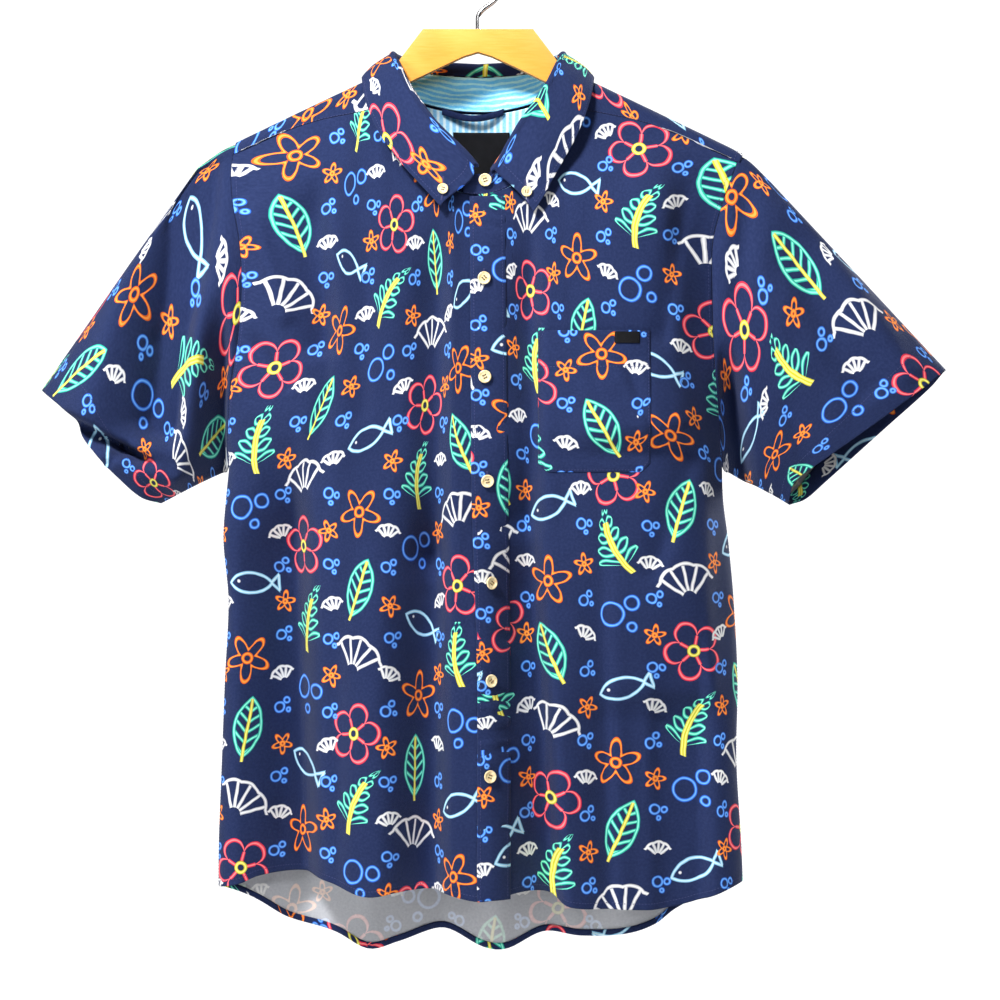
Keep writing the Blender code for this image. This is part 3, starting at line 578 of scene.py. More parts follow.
def moved_out(face, x, z, distance):
    """A point that far outside a face, along the face's normal."""
    normal = normal_of(face, x, z, 0.002)
    if normal.y * face(x, z).y < 0.0:
        normal.negate()
    return face(x, z) + normal * distance


def neck_seam(angle):
    """x and z of the neck seam, and whether it lies on the back: 0 is the centre front."""
    x = NECK_HALF * math.sin(angle)
    on_back = math.cos(angle) < 0.0
    low = NECK_BACK_Z if on_back else NECK_FRONT_Z
    return x, low + (ridge(NECK_HALF) - low) * (1.0 - abs(math.cos(angle))), on_back


def panel_top(x):
    """Height of a front's upper edge: the neck seam, then the yoke seam."""
    half = abs(x)
    corner = NECK_HALF * math.sin(NECK_CORNER)
    if half < corner:
        return neck_seam(math.asin(half / NECK_HALF))[1]
    yoke_seam = ridge(x) - along(YOKE_FRONT, half, 1)
    seam_edge = neck_seam(NECK_CORNER)[1]
    near_corner = blend((corner + CORNER_BLEND - half) / CORNER_BLEND)
    return min(yoke_seam, yoke_seam + (seam_edge - yoke_seam) * near_corner)


def front_hem(x):
    return along(FRONT_HEM, x, 1)


def column_x(share, z, side):
    """x of a panel's column by its share of the way from the centre to the side edge."""
    return side * half_width(side, z) * math.sin(edge_turn(z) * share)


def column_end(side, height_of):
    """Gives the height where a column meets an edge that is known as a height for each x."""
    known = {}

    def settle(share):
        if share not in known:
            low, high = HEIGHTS_SEARCHED
            for _ in range(HALVINGS):
                middle = (low + high) / 2
                if middle < height_of(column_x(share, middle, side)):
                    low = middle
                else:
                    high = middle
            known[share] = (low + high) / 2
        return known[share]

    return settle


def front_sheet(side, inner_x, tuck):
    """place(u, v) of one front, from its centre edge to the side, and from hem to top."""
    inner = math.asin(inner_x * side / half_width(side, BODY_Z)) / edge_turn(BODY_Z)
    top_of, bottom_of = column_end(side, panel_top), column_end(side, front_hem)

    def place(u, v):
        share = inner + (1.0 - inner) * (u if side > 0 else 1.0 - u)
        bottom = bottom_of(share)
        z = bottom + (top_of(share) - bottom) * v
        point = front_point(column_x(share, z, side), z)
        point.y += tuck * (1.0 - blend((abs(point.x - inner_x) - TUCK_WIDTH) / TUCK_WIDTH))
        return point

    return place


def grid_share(share, count, edge):
    """Share of a grid line, the first and last gaps being only an edge wide."""
    line = round(share * count)
    return share if line in (0, count) else edge + (1.0 - 2.0 * edge) * (line - 1) / (count - 2)


def laid(name, columns, rows, place, cut_of, edges, closed):
    """A mesh laid by place(u, v), with each corner's place on the flat cut piece as its UV."""
    sheet = bmesh.new()
    bmesh.ops.create_grid(sheet, x_segments=columns, y_segments=rows, size=0.5)
    shares = {}
    for vertex in sheet.verts:
        u, v = vertex.co.x + 0.5, vertex.co.y + 0.5
        u = grid_share(u, columns, edges[0]) if edges[0] else u
        v = grid_share(v, rows, edges[1]) if edges[1] else v
        shares[vertex] = (u, v)
        vertex.co = place(u, v)
    cut = sheet.loops.layers.uv.new("cut")
    for face in sheet.faces:
        for loop in face.loops:
            loop[cut].uv = cut_of(*shares[loop.vert])
    if closed:
        bmesh.ops.remove_doubles(sheet, verts=sheet.verts, dist=WELD)
    mesh = mesh_of(name, sheet)
    mesh.shade_smooth()
    return mesh


def placed(name, mesh, materials, node=None):
    """A finished piece of the shirt, which may stand for a solid."""
    for material in materials:
        mesh.materials.append(material)
    piece = bpy.data.objects.new(name, mesh)
    scene.collection.objects.link(piece)
    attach(piece, "root")
    if node:
        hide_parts(node)
    return piece


def sewn(name, node, columns, rows, place, cut_of, edges=(0.0, 0.0), closed=False, wall=CLOTH,
         faces=(POPLIN, POPLIN_WRONG_SIDE)):
    """A piece of cloth with its right side out, given its thickness on the inside."""
    piece = placed(name, laid(name, columns, rows, place, cut_of, edges, closed), faces, node)
    thick = piece.modifiers.new("cloth", "SOLIDIFY")
    thick.thickness = wall
    thick.offset = -1.0
    thick.material_offset = len(faces) - 1
    thick.material_offset_rim = 0
    return piece


def facing(place, u, v, step=0.004):
    """How a sheet runs along u at a place, and its normal there."""
    over_u = place(min(1.0, u + step), v) - place(max(0.0, u - step), v)
    over_v = place(u, min(1.0, v + step)) - place(u, max(0.0, v - step))
    return over_u, over_u.cross(over_v).normalized()


def layer(place, distance):
    """place(u, v) of a layer that far outside another, or inside it if negative."""
    return lambda u, v: place(u, v) + facing(place, u, v)[1] * distance


ROUTE_STEPS = 120
STITCH = 0.0028
STITCH_HALF = (0.00105, 0.0003, 0.0002)


def stitched(name, place, routes, material=THREAD, stitch=STITCH, half=STITCH_HALF,
             turned=0.0):
    """Rows of stitches on a piece: each route gives u and v for a share of its way."""
    thread = bmesh.new()
    steps = ROUTE_STEPS
    for route in routes:
        ways = [place(*route(step / steps)) for step in range(steps + 1)]
        lengths = [0.0]
        for near, far in zip(ways, ways[1:]):
            lengths.append(lengths[-1] + (far - near).length)
        count = max(1, round(lengths[-1] / stitch))
        step = 0
        for number in range(count):
            wanted = (number + 0.5) * lengths[-1] / count
            while lengths[step + 1] < wanted:
                step += 1
            share = (step + (wanted - lengths[step]) / (lengths[step + 1] - lengths[step])) / steps
            u, v = route(share)
            normal = facing(place, u, v)[1]
            onward = Matrix.Rotation(turned, 3, normal) @ (ways[step + 1] - ways[step]).normalized()
            aside = normal.cross(onward).normalized()
            turn = Matrix((onward, aside, normal)).transposed().to_4x4()
            spot = Matrix.Translation(place(u, v) + normal * half[2] * 0.5)
            bmesh.ops.create_icosphere(
                thread, subdivisions=1, radius=1.0, matrix=spot @ turn @ Matrix.Diagonal((*half, 1.0))
            )
    return placed(name, mesh_of(name, thread), (material,))


def row(start_u, start_v, end_u, end_v):
    """A straight row of stitches between two places on a sheet."""
    return lambda t: (start_u + (end_u - start_u) * t, start_v + (end_v - start_v) * t)


def both(start_u, start_v, end_u, end_v):
    """A row of stitches and its like on the sheet's other side."""
    mirrored = row(round(1.0 - start_u, 6), start_v, round(1.0 - end_u, 6), end_v)
    return [row(start_u, start_v, end_u, end_v), mirrored]


def panel_cut(place, corner):
    """Place on the cut of a body panel: its length across, and its height."""
    steps, lengths = 40, [0.0]
    for step in range(steps):
        lengths.append(lengths[-1] + (place((step + 1) / steps, 0.5) - place(step / steps, 0.5)).length)

    def cut_of(u, v):
        step = min(steps - 1, int(u * steps))
        width = lengths[step] + (lengths[step + 1] - lengths[step]) * (u * steps - step)
        return corner[0] + width, corner[1] + place(u, v).z

    return cut_of


def strip_cut(corner, width, height):
    """Place on the cut of a piece without shaping, from its corner."""
    return lambda u, v: (corner[0] + u * width, corner[1] + v * height)


def hem_inside(name, place, cut_of, depth, columns, rows=3, closed=False):
    """The turned-up hem inside a panel, its right side showing, over the lowest depth of v."""
    inside = layer(place, -CLOTH - LAYER - THIN)
    return sewn(name, None, columns, rows, lambda u, v: inside(1.0 - u, depth * v),
                lambda u, v: cut_of(1.0 - u, -depth * v), closed=closed, wall=THIN, faces=(POPLIN,))


FRONT_WIDTH = 0.25
FRONT_EDGES = (EDGE / FRONT_WIDTH, EDGE / BODY_LENGTH)
STITCH_LINE = 0.85
# The side seam's row of stitches: share out from the middle of u, its start and end in v.
SEAM_STITCHES = (0.478, 0.575, 0.985)
# Name, node, side, centre edge, tuck under the other front, corner and area of the cut.
FRONTS = (
    ("right_front", "front_right", -1, UNDERLAP, UNDER_TUCK, (0.0, 0.013), 0.192),
    ("left_front", "front_left", 1, 0.0, 0.0, (0.271, 0.041), 0.18),
)
for name, node, side, inner_x, tuck, corner, area in FRONTS:
    lay = front_sheet(side, inner_x, tuck)
    cut_of = panel_cut(lay, corner)
    panel = sewn(name, node, 92, 180, lay, cut_of, FRONT_EDGES)
    hem = hem_inside(name + "_hem", lay, cut_of, HEM_TURN / BODY_LENGTH, 72)
    hem_line = HEM_TURN * STITCH_LINE / BODY_LENGTH
    seam = 0.5 + SEAM_STITCHES[0] * side
    routes = [row(0.0, hem_line, 1.0, hem_line), row(seam, SEAM_STITCHES[1], seam, SEAM_STITCHES[2])]
    thread = stitched(name + "_thread", lay, routes)


# The placket: a straight band of the poplin folded over fusing and stitched down both edges
# of the wearer's left front. It draws up a little between its buttons.
PLACKET_TOP_Z = -0.2118
PLACKET_LIFT = 0.0011
PLACKET_FOLD = 0.001
PLACKET_LENGTH = 0.621
PLACKET_WIDTH = 0.032
PLACKET_EDGE = 0.0006
PLACKET_FOOT_X = 0.012
PLACKET_CUT = (0.634, 0.053)
PUCKER_AT_EDGES = 0.65
PUCKER_SLANT, SLANT_TURNS = 0.004, 900.0
PUCKER_FINE, FINE_WAVES = 0.00025, (2.0, 170.0)
# Edges of the band: z, free edge, stitched edge, button line.
PLACKET = metres(
    (-840, -0.5, 28.8, 9), (-640, -0.5, 28.8, 10.8), (-550, -3, 28, 10.8),
    (-481, -5.4, 27, 8.8), (-372, -6, 25.8, 6.3), (-210, -7.2, 24.3, 5.4),
)
# Puckers across the band: height, half height, depth.
PUCKERS = metres(
    (-225, 3.5, 1.8), (-238, 4, 1.4), (-260, 6, 0.9), (-330, 8, 1.3), (-418, 7, 1.5),
    (-508, 7, 1.4), (-602, 6, 1.6), (-656, 4.5, 2.4), (-670, 4, 2), (-688, 5, 2.6),
    (-703, 4, 2), (-770, 7, 1.6),
)


def pucker(u, z):
    drawn = 0.35 + PUCKER_AT_EDGES * math.cos(math.pi * u) ** 2
    total = PUCKER_FINE * drawn * noise.noise(Vector((u * FINE_WAVES[0], z * FINE_WAVES[1], 4.0)))
    for height, half, depth in PUCKERS:
        slanted = height + PUCKER_SLANT * (u - 0.5) * math.sin(height * SLANT_TURNS)
        total -= depth * (0.4 + 0.6 * drawn) * bell((z - slanted) / half)
    return total


def placket_sheet(u, v):
    low = front_hem(PLACKET_FOOT_X)
    z = low + (PLACKET_TOP_Z - low) * v
    free, stitched_edge = along(PLACKET, z, 1), along(PLACKET, z, 2)
    from_edge = min(u, 1.0 - u) * (stitched_edge - free)
    lift = PLACKET_LIFT - PLACKET_FOLD * 0.5 * (1.0 - blend(from_edge / PLACKET_FOLD))
    return moved_out(front_point, free + (stitched_edge - free) * u, z, lift + pucker(u, z))


placket_cut = strip_cut(PLACKET_CUT, PLACKET_WIDTH, PLACKET_LENGTH)
band = sewn("placket_band", "placket", 16, 210, placket_sheet, placket_cut,
            (PLACKET_EDGE / PLACKET_WIDTH, EDGE / PLACKET_LENGTH), wall=PLACKET_LIFT - LAYER)
band_thread = stitched("placket_thread", placket_sheet, both(0.1, 0.004, 0.1, 1.0))


# The patch pocket on the wearer's left chest: one piece of poplin with a deep turned hem at
# its mouth, its other edges pressed under and stitched on. A plain black ribbon tab is folded
# over the mouth.
POCKET_CHAMFER = 0.008
CHAMFER_START, CHAMFER_SPAN = 0.84, 0.16
POCKET_LIFT = 0.0011
POCKET_HEM = 0.032
POCKET_FULL = 0.0022
MOUTH_SLACK = 0.0016
MOUTH_START, MOUTH_SPAN = 0.7, 0.3
CREASE_FADE = 0.3
POCKET_EDGE_LIFT, POCKET_EDGE_ROUND = 0.0006, 0.0025
POCKET_CUT = (0.105, 0.31)
pocket_low, pocket_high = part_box("pocket")
POCKET_WIDTH = pocket_high[0] - pocket_low[0]
POCKET_HEIGHT = pocket_high[2] - pocket_low[2]
# Creases of the pocket: u and v at each end, half width, height outwards.
POCKET_CREASES = (
    (0.62, 0.62, 0.98, 0.3, 0.075, -0.0016),
    (0.3, 0.55, 0.1, 0.05, 0.09, -0.0012),
    (0.4, 0.95, 0.46, 0.1, 0.08, 0.001),
)


def pocket_sheet(u, v):
    x = pocket_low[0] + POCKET_WIDTH * u
    low = pocket_low[2] + POCKET_CHAMFER * max(0.0, abs(u - 0.5) * 2 - CHAMFER_START) / CHAMFER_SPAN
    z = low + (pocket_high[2] - low) * v
    middle = 16.0 * u * (1.0 - u) * min(1.0, v / 0.5) * (1.0 - 0.5 * min(1.0, v / 0.5)) / 2.0
    lift = POCKET_LIFT + POCKET_FULL * middle * 0.5
    lift += MOUTH_SLACK * blend((v - MOUTH_START) / MOUTH_SPAN) * 4.0 * u * (1.0 - u)
    for u_start, v_start, u_end, v_end, half, height in POCKET_CREASES:
        way = ((u - u_start) * (u_end - u_start) + (v - v_start) * (v_end - v_start)) / (
            (u_end - u_start) ** 2 + (v_end - v_start) ** 2
        )
        away = math.hypot(u - u_start - way * (u_end - u_start), v - v_start - way * (v_end - v_start))
        strength = height * blend(way / CREASE_FADE) * blend((1.0 - way) / CREASE_FADE)
        lift += strength * bell(away / half)
    edge = min(u, 1.0 - u, v * 1.3) * POCKET_WIDTH
    lift = POCKET_EDGE_LIFT + (lift - POCKET_EDGE_LIFT) * blend(edge / POCKET_EDGE_ROUND)
    return moved_out(front_point, x, z, lift)


def pocket_edge(t):
    """The stitch line down one side, round the cut corners and up the other."""
    inset_u, inset_v, corner = 0.018, 0.016, 0.08
    stops = ((inset_u, 1.0), (inset_u, inset_v + 0.015), (corner, inset_v), (1.0 - corner, inset_v))
    stops += ((1.0 - inset_u, inset_v + 0.015), (1.0 - inset_u, 1.0))
    shares = (0.0, 0.345, 0.375, 0.625, 0.655, 1.0)
    leg = max(number for number in range(5) if shares[number] <= t)
    t = (t - shares[leg]) / (shares[leg + 1] - shares[leg])
    start, end = stops[leg], stops[leg + 1]
    return start[0] + (end[0] - start[0]) * t, start[1] + (end[1] - start[1]) * t


pocket_cut = strip_cut(POCKET_CUT, POCKET_WIDTH, POCKET_HEIGHT)
pocket = sewn("patch_pocket", "pocket", 36, 46, pocket_sheet, pocket_cut, (0.009, 0.007), wall=THIN)
hem_share = 1.0 - POCKET_HEM / POCKET_HEIGHT
pocket_thread = stitched("pocket_thread", pocket_sheet, [
    pocket_edge,
    row(0.018, hem_share, 0.982, hem_share),
    *both(0.018, 0.93, 0.06, 1.0),
])

TAB_ROUND = 0.0005
TAB_LIFT, TAB_EDGE_FALL = 0.0009, 0.0004
tab_low, tab_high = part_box("pocket_tab")
TAB_WIDTH = tab_high[0] - tab_low[0]
TAB_HEIGHT = tab_high[2] - tab_low[2]


def ribbon(name, colour, pitch, depth):
    """Black woven ribbon with fine ribs across it."""
    finish = Finish(name, colour, 0.6, Specular_IOR_Level=0.25, Sheen_Weight=0.02)
    cut = finish.cut()
    rib = (cut.part("Y") * (2 * math.pi / pitch)).sine()
    cross = (cut.part("X") * (2 * math.pi / pitch / 0.7)).sine()
    wear = finish.noise(cut, 140.0, 3.0)
    finish.bump(rib * 0.3 + cross * rib * 0.2 + wear * 0.6, depth)
    finish.feed("Base Color", (wear * 0.7 + rib * 0.15).ramp(0.15, 0.75).mixed(colour, (0.011, 0.011, 0.015)))
    return finish.material


BLACK_TAPE = ribbon("black tape", (0.0045, 0.0045, 0.0065), 0.0007, 0.00025)
TAPE_THREAD = spun("black thread", (0.014, 0.014, 0.017), 0.55, 1500.0,
                   (0.008, 0.008, 0.01), (0.03, 0.03, 0.034))


def tab_sheet(u, v):
    x, z = tab_low[0] + TAB_WIDTH * u, tab_low[2] + TAB_HEIGHT * v
    around = min(u, 1.0 - u) * TAB_WIDTH
    share = (x - pocket_low[0]) / POCKET_WIDTH, min(1.0, (z - pocket_low[2]) / POCKET_HEIGHT)
    rise = (pocket_sheet(*share) - front_point(x, z)).length
    return moved_out(front_point, x, z, rise + TAB_LIFT - TAB_EDGE_FALL * (1.0 - blend(around / TAB_ROUND)))


tab = sewn("pocket_tab_ribbon", "pocket_tab", 12, 8, tab_sheet, strip_cut((0.0, 0.0), TAB_WIDTH, TAB_HEIGHT),
           (0.02, 0.04), wall=0.0006, faces=(BLACK_TAPE,))
tab_thread = stitched("tab_thread", tab_sheet, both(0.06, 0.08, 0.06, 0.92),
                      TAPE_THREAD, 0.0013, (0.0005, 0.00018, 0.00012))


# The back: one wide piece of poplin below the yoke, with a long curved tail, joined to the
# fronts at the side seams and turned up narrowly at its hem.
BACK_DEPTH = 0.05
BACK_NECK_SWELL = 0.007
BACK_SWELL_HALF = 0.06
BACK_SWELL_DROP = 0.07
BACK_SWELL_HEIGHT = 0.05
BACK_YOKE_Z = -0.216
BACK_LENGTH = 0.66
BACK_WIDTH = 0.5
BACK_HEM = metres(
    (-233.5, -828.4), (-202.5, -842.1), (-172.8, -861.7), (-129.6, -875.1), (-100, -890),
    (-73.8, -884.6), (-33, -874.5), (4.5, -889.5), (26.1, -891.1), (59.4, -877.3),
    (95, -880), (133.2, -876.5), (161.1, -867.2), (180.9, -852.4), (238.5, -823),
)
BACK_FOLDS = metres(
    (-100, -340, -100, -950, 26, 26, -12.1), (-33, -300, -30, -950, 22, 22, 10.5),
    (20, -380, 15, -950, 18, 18, -10.5), (75, -320, 65, -950, 22, 22, 9.7),
    (135, -260, 140, -950, 26, 22, -9.7), (-155, -280, -160, -950, 20, 20, 8.1),
    (-205, -420, -200, -950, 12, 12, -6.5), (190, -400, 195, -950, 14, 12, 6.5),
    (190, -230, 115, -420, 10, 16, -5.9), (-190, -230, -125, -400, 15, 9, -5.9),
    (-208, -350, -150, -450, 12, 8, -4.9), (206, -360, 140, -480, 8, 13, -4.9),
    (-65, -440, -70, -820, 7, 10, -3.6), (45, -420, 40, -760, 9, 7, 3.2),
    (105, -500, 100, -880, 8, 10, 3.9),
)


def back_point(x, z):
    """The back's outer face, which swells behind the neck."""
    up_down = (ridge(x) - z - BACK_SWELL_DROP) / BACK_SWELL_HEIGHT
    swell = BACK_NECK_SWELL * math.exp(-((x / BACK_SWELL_HALF) ** 2) - (up_down**2))
    return Vector((x, out_by(x, z, BACK_DEPTH, BACK_FOLDS, 5.0, swell), z))


back_ends = {side: column_end(side, lambda x: along(BACK_HEM, x, 1)) for side in (-1, 1)}


def back_sheet(u, v):
    side = 1 if u <= 0.5 else -1
    share = abs(1.0 - 2.0 * u)
    bottom = back_ends[side](round(share, 9))
    z = bottom + (BACK_YOKE_Z - bottom) * v
    return back_point(column_x(share, z, side), z)


back_cut = panel_cut(back_sheet, (0.047, 0.022))
back_panel = sewn("back_panel", "back", 148, 180, back_sheet, back_cut,
                  (EDGE / BACK_WIDTH, EDGE / BACK_LENGTH))
back_hem = hem_inside("back_panel_hem", back_sheet, back_cut, HEM_TURN / BACK_LENGTH, 140)
hem_line = HEM_TURN * STITCH_LINE / BACK_LENGTH
back_thread = stitched("back_thread", back_sheet, [
    row(0.0, hem_line, 1.0, hem_line), *both(0.004, 0.0, 0.004, 0.58), *both(0.013, 0.63, 0.013, 0.99),
])


# The yoke: one curved piece of poplin over both shoulders, seamed to the fronts just below
# the shoulder line and to the back across the shoulder blades, topstitched on both seams.
ARMHOLE_TOP_HALF = 0.22
YOKE_LIFT = 0.0006
# From the front corner of the neck (0) round the shoulder to the centre back (1): share of
# the way, angle round the neck seam.
YOKE_TURN = ((0.0, 74.0), (0.3, 84.0), (0.42, 89.8), (0.56, 112.0), (0.66, 127.0), (1.0, 180.0))
YOKE_FRONT_SHARE, YOKE_BACK_SHARE = 0.3, 0.6
YOKE_CUT = (0.33, 0.12)
YOKE_UNROLL = 0.45


def drop_at(length):
    """Drop below the shoulder line at a length over it."""
    if length < SHOULDER_ROLL * math.pi / 2:
        return SHOULDER_ROLL * (1.0 - math.cos(length / SHOULDER_ROLL))
    return SHOULDER_ROLL + length - SHOULDER_ROLL * math.pi / 2


def over_shoulder(x, length):
    """A point on the outer face at a length over the shoulder line, to the back if positive."""
    face = back_point if length > 0.0 else front_point
    return face(x, ridge(x) - drop_at(abs(length)))


def length_of(drop):
    """Length over the shoulder line for a drop below it."""
    if drop < SHOULDER_ROLL:
        return SHOULDER_ROLL * math.acos(max(-1.0, 1.0 - drop / SHOULDER_ROLL))
    return drop - SHOULDER_ROLL + SHOULDER_ROLL * math.pi / 2


def armhole_half(side, z):
    """Half width of the armhole seam at a height."""
    return along(ARMHOLES, min(z, ARMHOLES[-1][0]), 1 if side < 0 else 2)


def armhole_at(side, length):
    """x of the armhole seam at a length over the shoulder line."""
    return armhole_half(side, ridge(ARMHOLE_TOP_HALF) - drop_at(abs(length)))


def yoke_edge(side, t):
    """Outer edge of the yoke, as x and length over the shoulder line."""
    front_length = -length_of(along(YOKE_FRONT, 0.22, 1))
    back_length = length_of(ridge(armhole_half(side, BACK_YOKE_Z)) - BACK_YOKE_Z)
    if t < YOKE_FRONT_SHARE:
        start, end = NECK_HALF * math.sin(NECK_CORNER), armhole_at(side, front_length)
        x = start + (end - start) * t / YOKE_FRONT_SHARE
        return side * x, -length_of(along(YOKE_FRONT, x, 1))
    if t < YOKE_BACK_SHARE:
        length = front_length + (back_length - front_length) * (t - YOKE_FRONT_SHARE) / (
            YOKE_BACK_SHARE - YOKE_FRONT_SHARE
        )
        return side * armhole_at(side, length), length
    x = armhole_half(side, BACK_YOKE_Z) * (1.0 - t) / (1.0 - YOKE_BACK_SHARE)
    return side * x, length_of(ridge(x) - BACK_YOKE_Z)


def yoke_column(u):
    """x and length over the shoulder line, first at the neck, then at the yoke's outer edge."""
    side = 1 if u < 0.5 else -1
    t = 1.0 - abs(2.0 * u - 1.0)
    x, z, on_back = neck_seam(math.radians(along(YOKE_TURN, t, 1)))
    length = length_of(max(0.0, ridge(x) - z)) * (1 if on_back else -1)
    return (side * x, length, *yoke_edge(side, t))


def yoke_sheet(out, trim):
    """place(u, v) of a yoke layer that far outside the shirt's face, from its edge to the neck."""
    def place(u, v):
        x, length, edge_x, edge_length = yoke_column(u)
        way = (1.0 - v) * (1.0 - trim)
        x, length = x + (edge_x - x) * way, length + (edge_length - length) * way
        return over_shoulder(x, length) + normal_of(over_shoulder, x, length, 0.0012) * out

    return place


def yoke_cut(u, v):
    """Laid flat, the yoke is a horseshoe: each place is kept in plan, the back's slope unrolled."""
    x, length, edge_x, edge_length = yoke_column(u)
    flat_x = x + (edge_x - x) * (1.0 - v)
    flat_y = length + (edge_length - length) * (1.0 - v) + YOKE_UNROLL * abs(flat_x)
    return YOKE_CUT[0] - flat_x, YOKE_CUT[1] - flat_y


YOKE_EDGES = (0.0015, 0.012)
yoke_outside = yoke_sheet(YOKE_LIFT, 0.0)
outer_yoke = sewn("outer_yoke", "yoke", 176, 30, yoke_outside, yoke_cut, YOKE_EDGES)
front_share, back_share = YOKE_FRONT_SHARE / 2, YOKE_BACK_SHARE / 2
yoke_thread = stitched("yoke_thread", yoke_outside, [
    row(0.0, 0.028, front_share, 0.022),
    row(1.0 - front_share, 0.022, 1.0, 0.028),
    row(back_share, 0.022, 1.0 - back_share, 0.022),
    *both(front_share, 0.035, back_share, 0.035),
])


# The yoke's lining, which shows in the open neck: striped chambray, its stripes running down.
# A black woven label and a hang loop of the printed poplin are sewn to it.
LINING_TRIM = 0.03
STRIPE = 0.0058


def chambray(name, letter, waver, tones):
    """Chambray with soft white stripes that follow one direction of the cut."""
    finish = Finish(name, (0.24, 0.5, 0.7), 0.85, Specular_IOR_Level=0.25, Sheen_Weight=0.1)
    cut = finish.cut()
    wander = finish.noise(cut, 26.0, 3.0)
    phase = cut.part(letter) * (2 * math.pi / STRIPE) + (wander - 0.5) * waver
    stripe = phase.sine().ramp(-0.35, 0.75)
    slub = finish.noise(cut, 300.0, 3.0)
    fleck = finish.noise(cut, 1300.0, 1.0)
    finish.bump(slub * 0.5 + fleck * 0.2 + wander * 2.0, 0.0006)
    ground = fleck.ramp(0.35, 0.65).mixed(*tones[:2])
    pale = fleck.ramp(0.35, 0.65).mixed(*tones[2:])
    finish.feed("Base Color", (stripe * 0.8 + slub.ramp(0.3, 0.7) * 0.2).mixed(ground, pale))
    return finish.material


# Its tones are paler than the stand lining's chambray: painted light that lifts the lining out of the shade
# inside the yoke. Its stripes are the cloth's own.
STRIPES_DOWN = chambray("chambray striped down, painted paler", "X", 0.8, ((0.22, 0.58, 0.9), (0.32, 0.68, 0.96),
                                                            (0.76, 0.95, 1.0), (0.9, 0.98, 1.0)))
lining_inside = yoke_sheet(-CLOTH - LAYER, LINING_TRIM)
yoke_lining = sewn("yoke_lining", "inner_yoke", 176, 30, lining_inside, yoke_cut, YOKE_EDGES,
                   wall=THIN, faces=(STRIPES_DOWN,))

LABEL_INSET = 0.0026
LABEL_BOW = 0.001
label_low, label_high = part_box("neck_label")
LABEL_WIDTH, LABEL_HEIGHT = label_high[0] - label_low[0], 0.042


def label_sheet(u, v):
    x, z = label_high[0] - LABEL_WIDTH * u, label_low[2] + LABEL_HEIGHT * v
    bow = LABEL_BOW * hump(u) * hump(v)
    return moved_out(back_point, x, z, -LABEL_INSET - bow)


def turned_over(place):
    return lambda u, v: place(1.0 - u, v)


label = sewn("neck_label_tape", "neck_label", 22, 18, turned_over(label_sheet),
             strip_cut((0.0, 0.0), LABEL_WIDTH, LABEL_HEIGHT), (0.012, 0.016),
             wall=THIN, faces=(BLACK_TAPE,))
label_thread = stitched("label_thread", turned_over(label_sheet), [
    *both(0.03, 0.03, 0.03, 0.97), row(0.03, 0.97, 0.97, 0.97), row(0.03, 0.03, 0.97, 0.03),
], TAPE_THREAD, 0.0018, (0.0007, 0.0002, 0.00014))

LOOP_TAPE = 0.006
LOOP_SAG = 0.005
LOOP_RAISED = 0.0118
LOOP_STAND_OFF = 0.003
LOOP_BOW = 0.0045
LOOP_ROLL = 0.0006
LOOP_CUT = (0.002, 0.061)
loop_low, loop_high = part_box("hang_loop")
LOOP_WIDTH = loop_high[0] - loop_low[0]


def loop_sheet(u, v):
    x = loop_low[0] + LOOP_WIDTH * u
    sag = hump(u)
    z = loop_high[2] + LOOP_RAISED - LOOP_SAG * sag - LOOP_TAPE * (1.0 - v)
    rolled = LOOP_ROLL * hump(v)
    return moved_out(back_point, x, z, -(LOOP_STAND_OFF + LOOP_BOW * sag + rolled))


loop = sewn("hang_loop_tape", "hang_loop", 30, 6, loop_sheet,
            strip_cut(LOOP_CUT, LOOP_WIDTH, LOOP_TAPE), (0.01, 0.08),
            wall=0.0009, faces=(POPLIN,))


# The short sleeves: each one piece of poplin closed under the arm, eased into its armhole,
# with a deep hem turned up inside and stitched. The wearer's right one is creased under.
SLEEVE_BEND = 0.14
SLEEVE_BELLY = 0.01
SLEEVE_LENGTH = 0.2
SLEEVE_ROUND = 0.47
SLEEVE_HEM = 0.025
SLEEVE_STITCH_LINE = 0.94
SLEEVE_CUT = (0.02, 0.03)
SLEEVE_LIFT = (0.76, 0.65)
ARMHOLE_MIDDLE_Z = -0.3
SEAM_DIP = 0.0012
SEAM_DIP_SPAN = 0.03
SEAM_ROLL = 0.0016
SEAM_ROLL_AT = 0.06
SEAM_ROLL_HALF = 0.05
LEAST_APART = 0.0022
APART_SPAN = 0.04
FREE_TURN, FREE_SPAN = 0.5, 0.05
TUCK_SPAN = 0.08
TOP_ROUND = 0.06
# Round a sleeve, from the shoulder line (0) down to the underarm (1): share of the way,
# share of the way down the armhole seam, turn of the hem.
SLEEVE_RING = (
    (0.0, 0.0, 0.0), (0.091, 0.022, 10.0), (0.182, 0.045, 20.0), (0.273, 0.11, 35.0),
    (0.364, 0.21, 50.0), (0.455, 0.33, 66.0), (0.545, 0.45, 82.0), (0.636, 0.57, 98.0),
    (0.727, 0.69, 114.0), (0.818, 0.8, 130.0), (0.909, 0.9, 148.0), (1.0, 1.0, 180.0),
)
RIGHT_SLEEVE_FOLDS = metres(
    (-238, -150, -282, -440, 30, 12, -42), (-278, -140, -356, -430, 22, 24, 15),
    (-252, -265, -266, -480, 10, 12, 8), (-280, -452, -374, -402, 2.4, 9, -23),
    (-308, -425, -330, -452, 5, 3, -4), (-356, -430, -260, -470, 12, 10, 8),
    (-233, -265, -292, -345, 6, 8, -2.6),
)
LEFT_SLEEVE_FOLDS = metres(
    (244, -180, 230, -320, 9, 12, -4.5), (262, -220, 350, -400, 16, 22, -6.5),
    (305, -240, 395, -380, 16, 12, 5), (270, -380, 300, -470, 8, 12, -3),
)
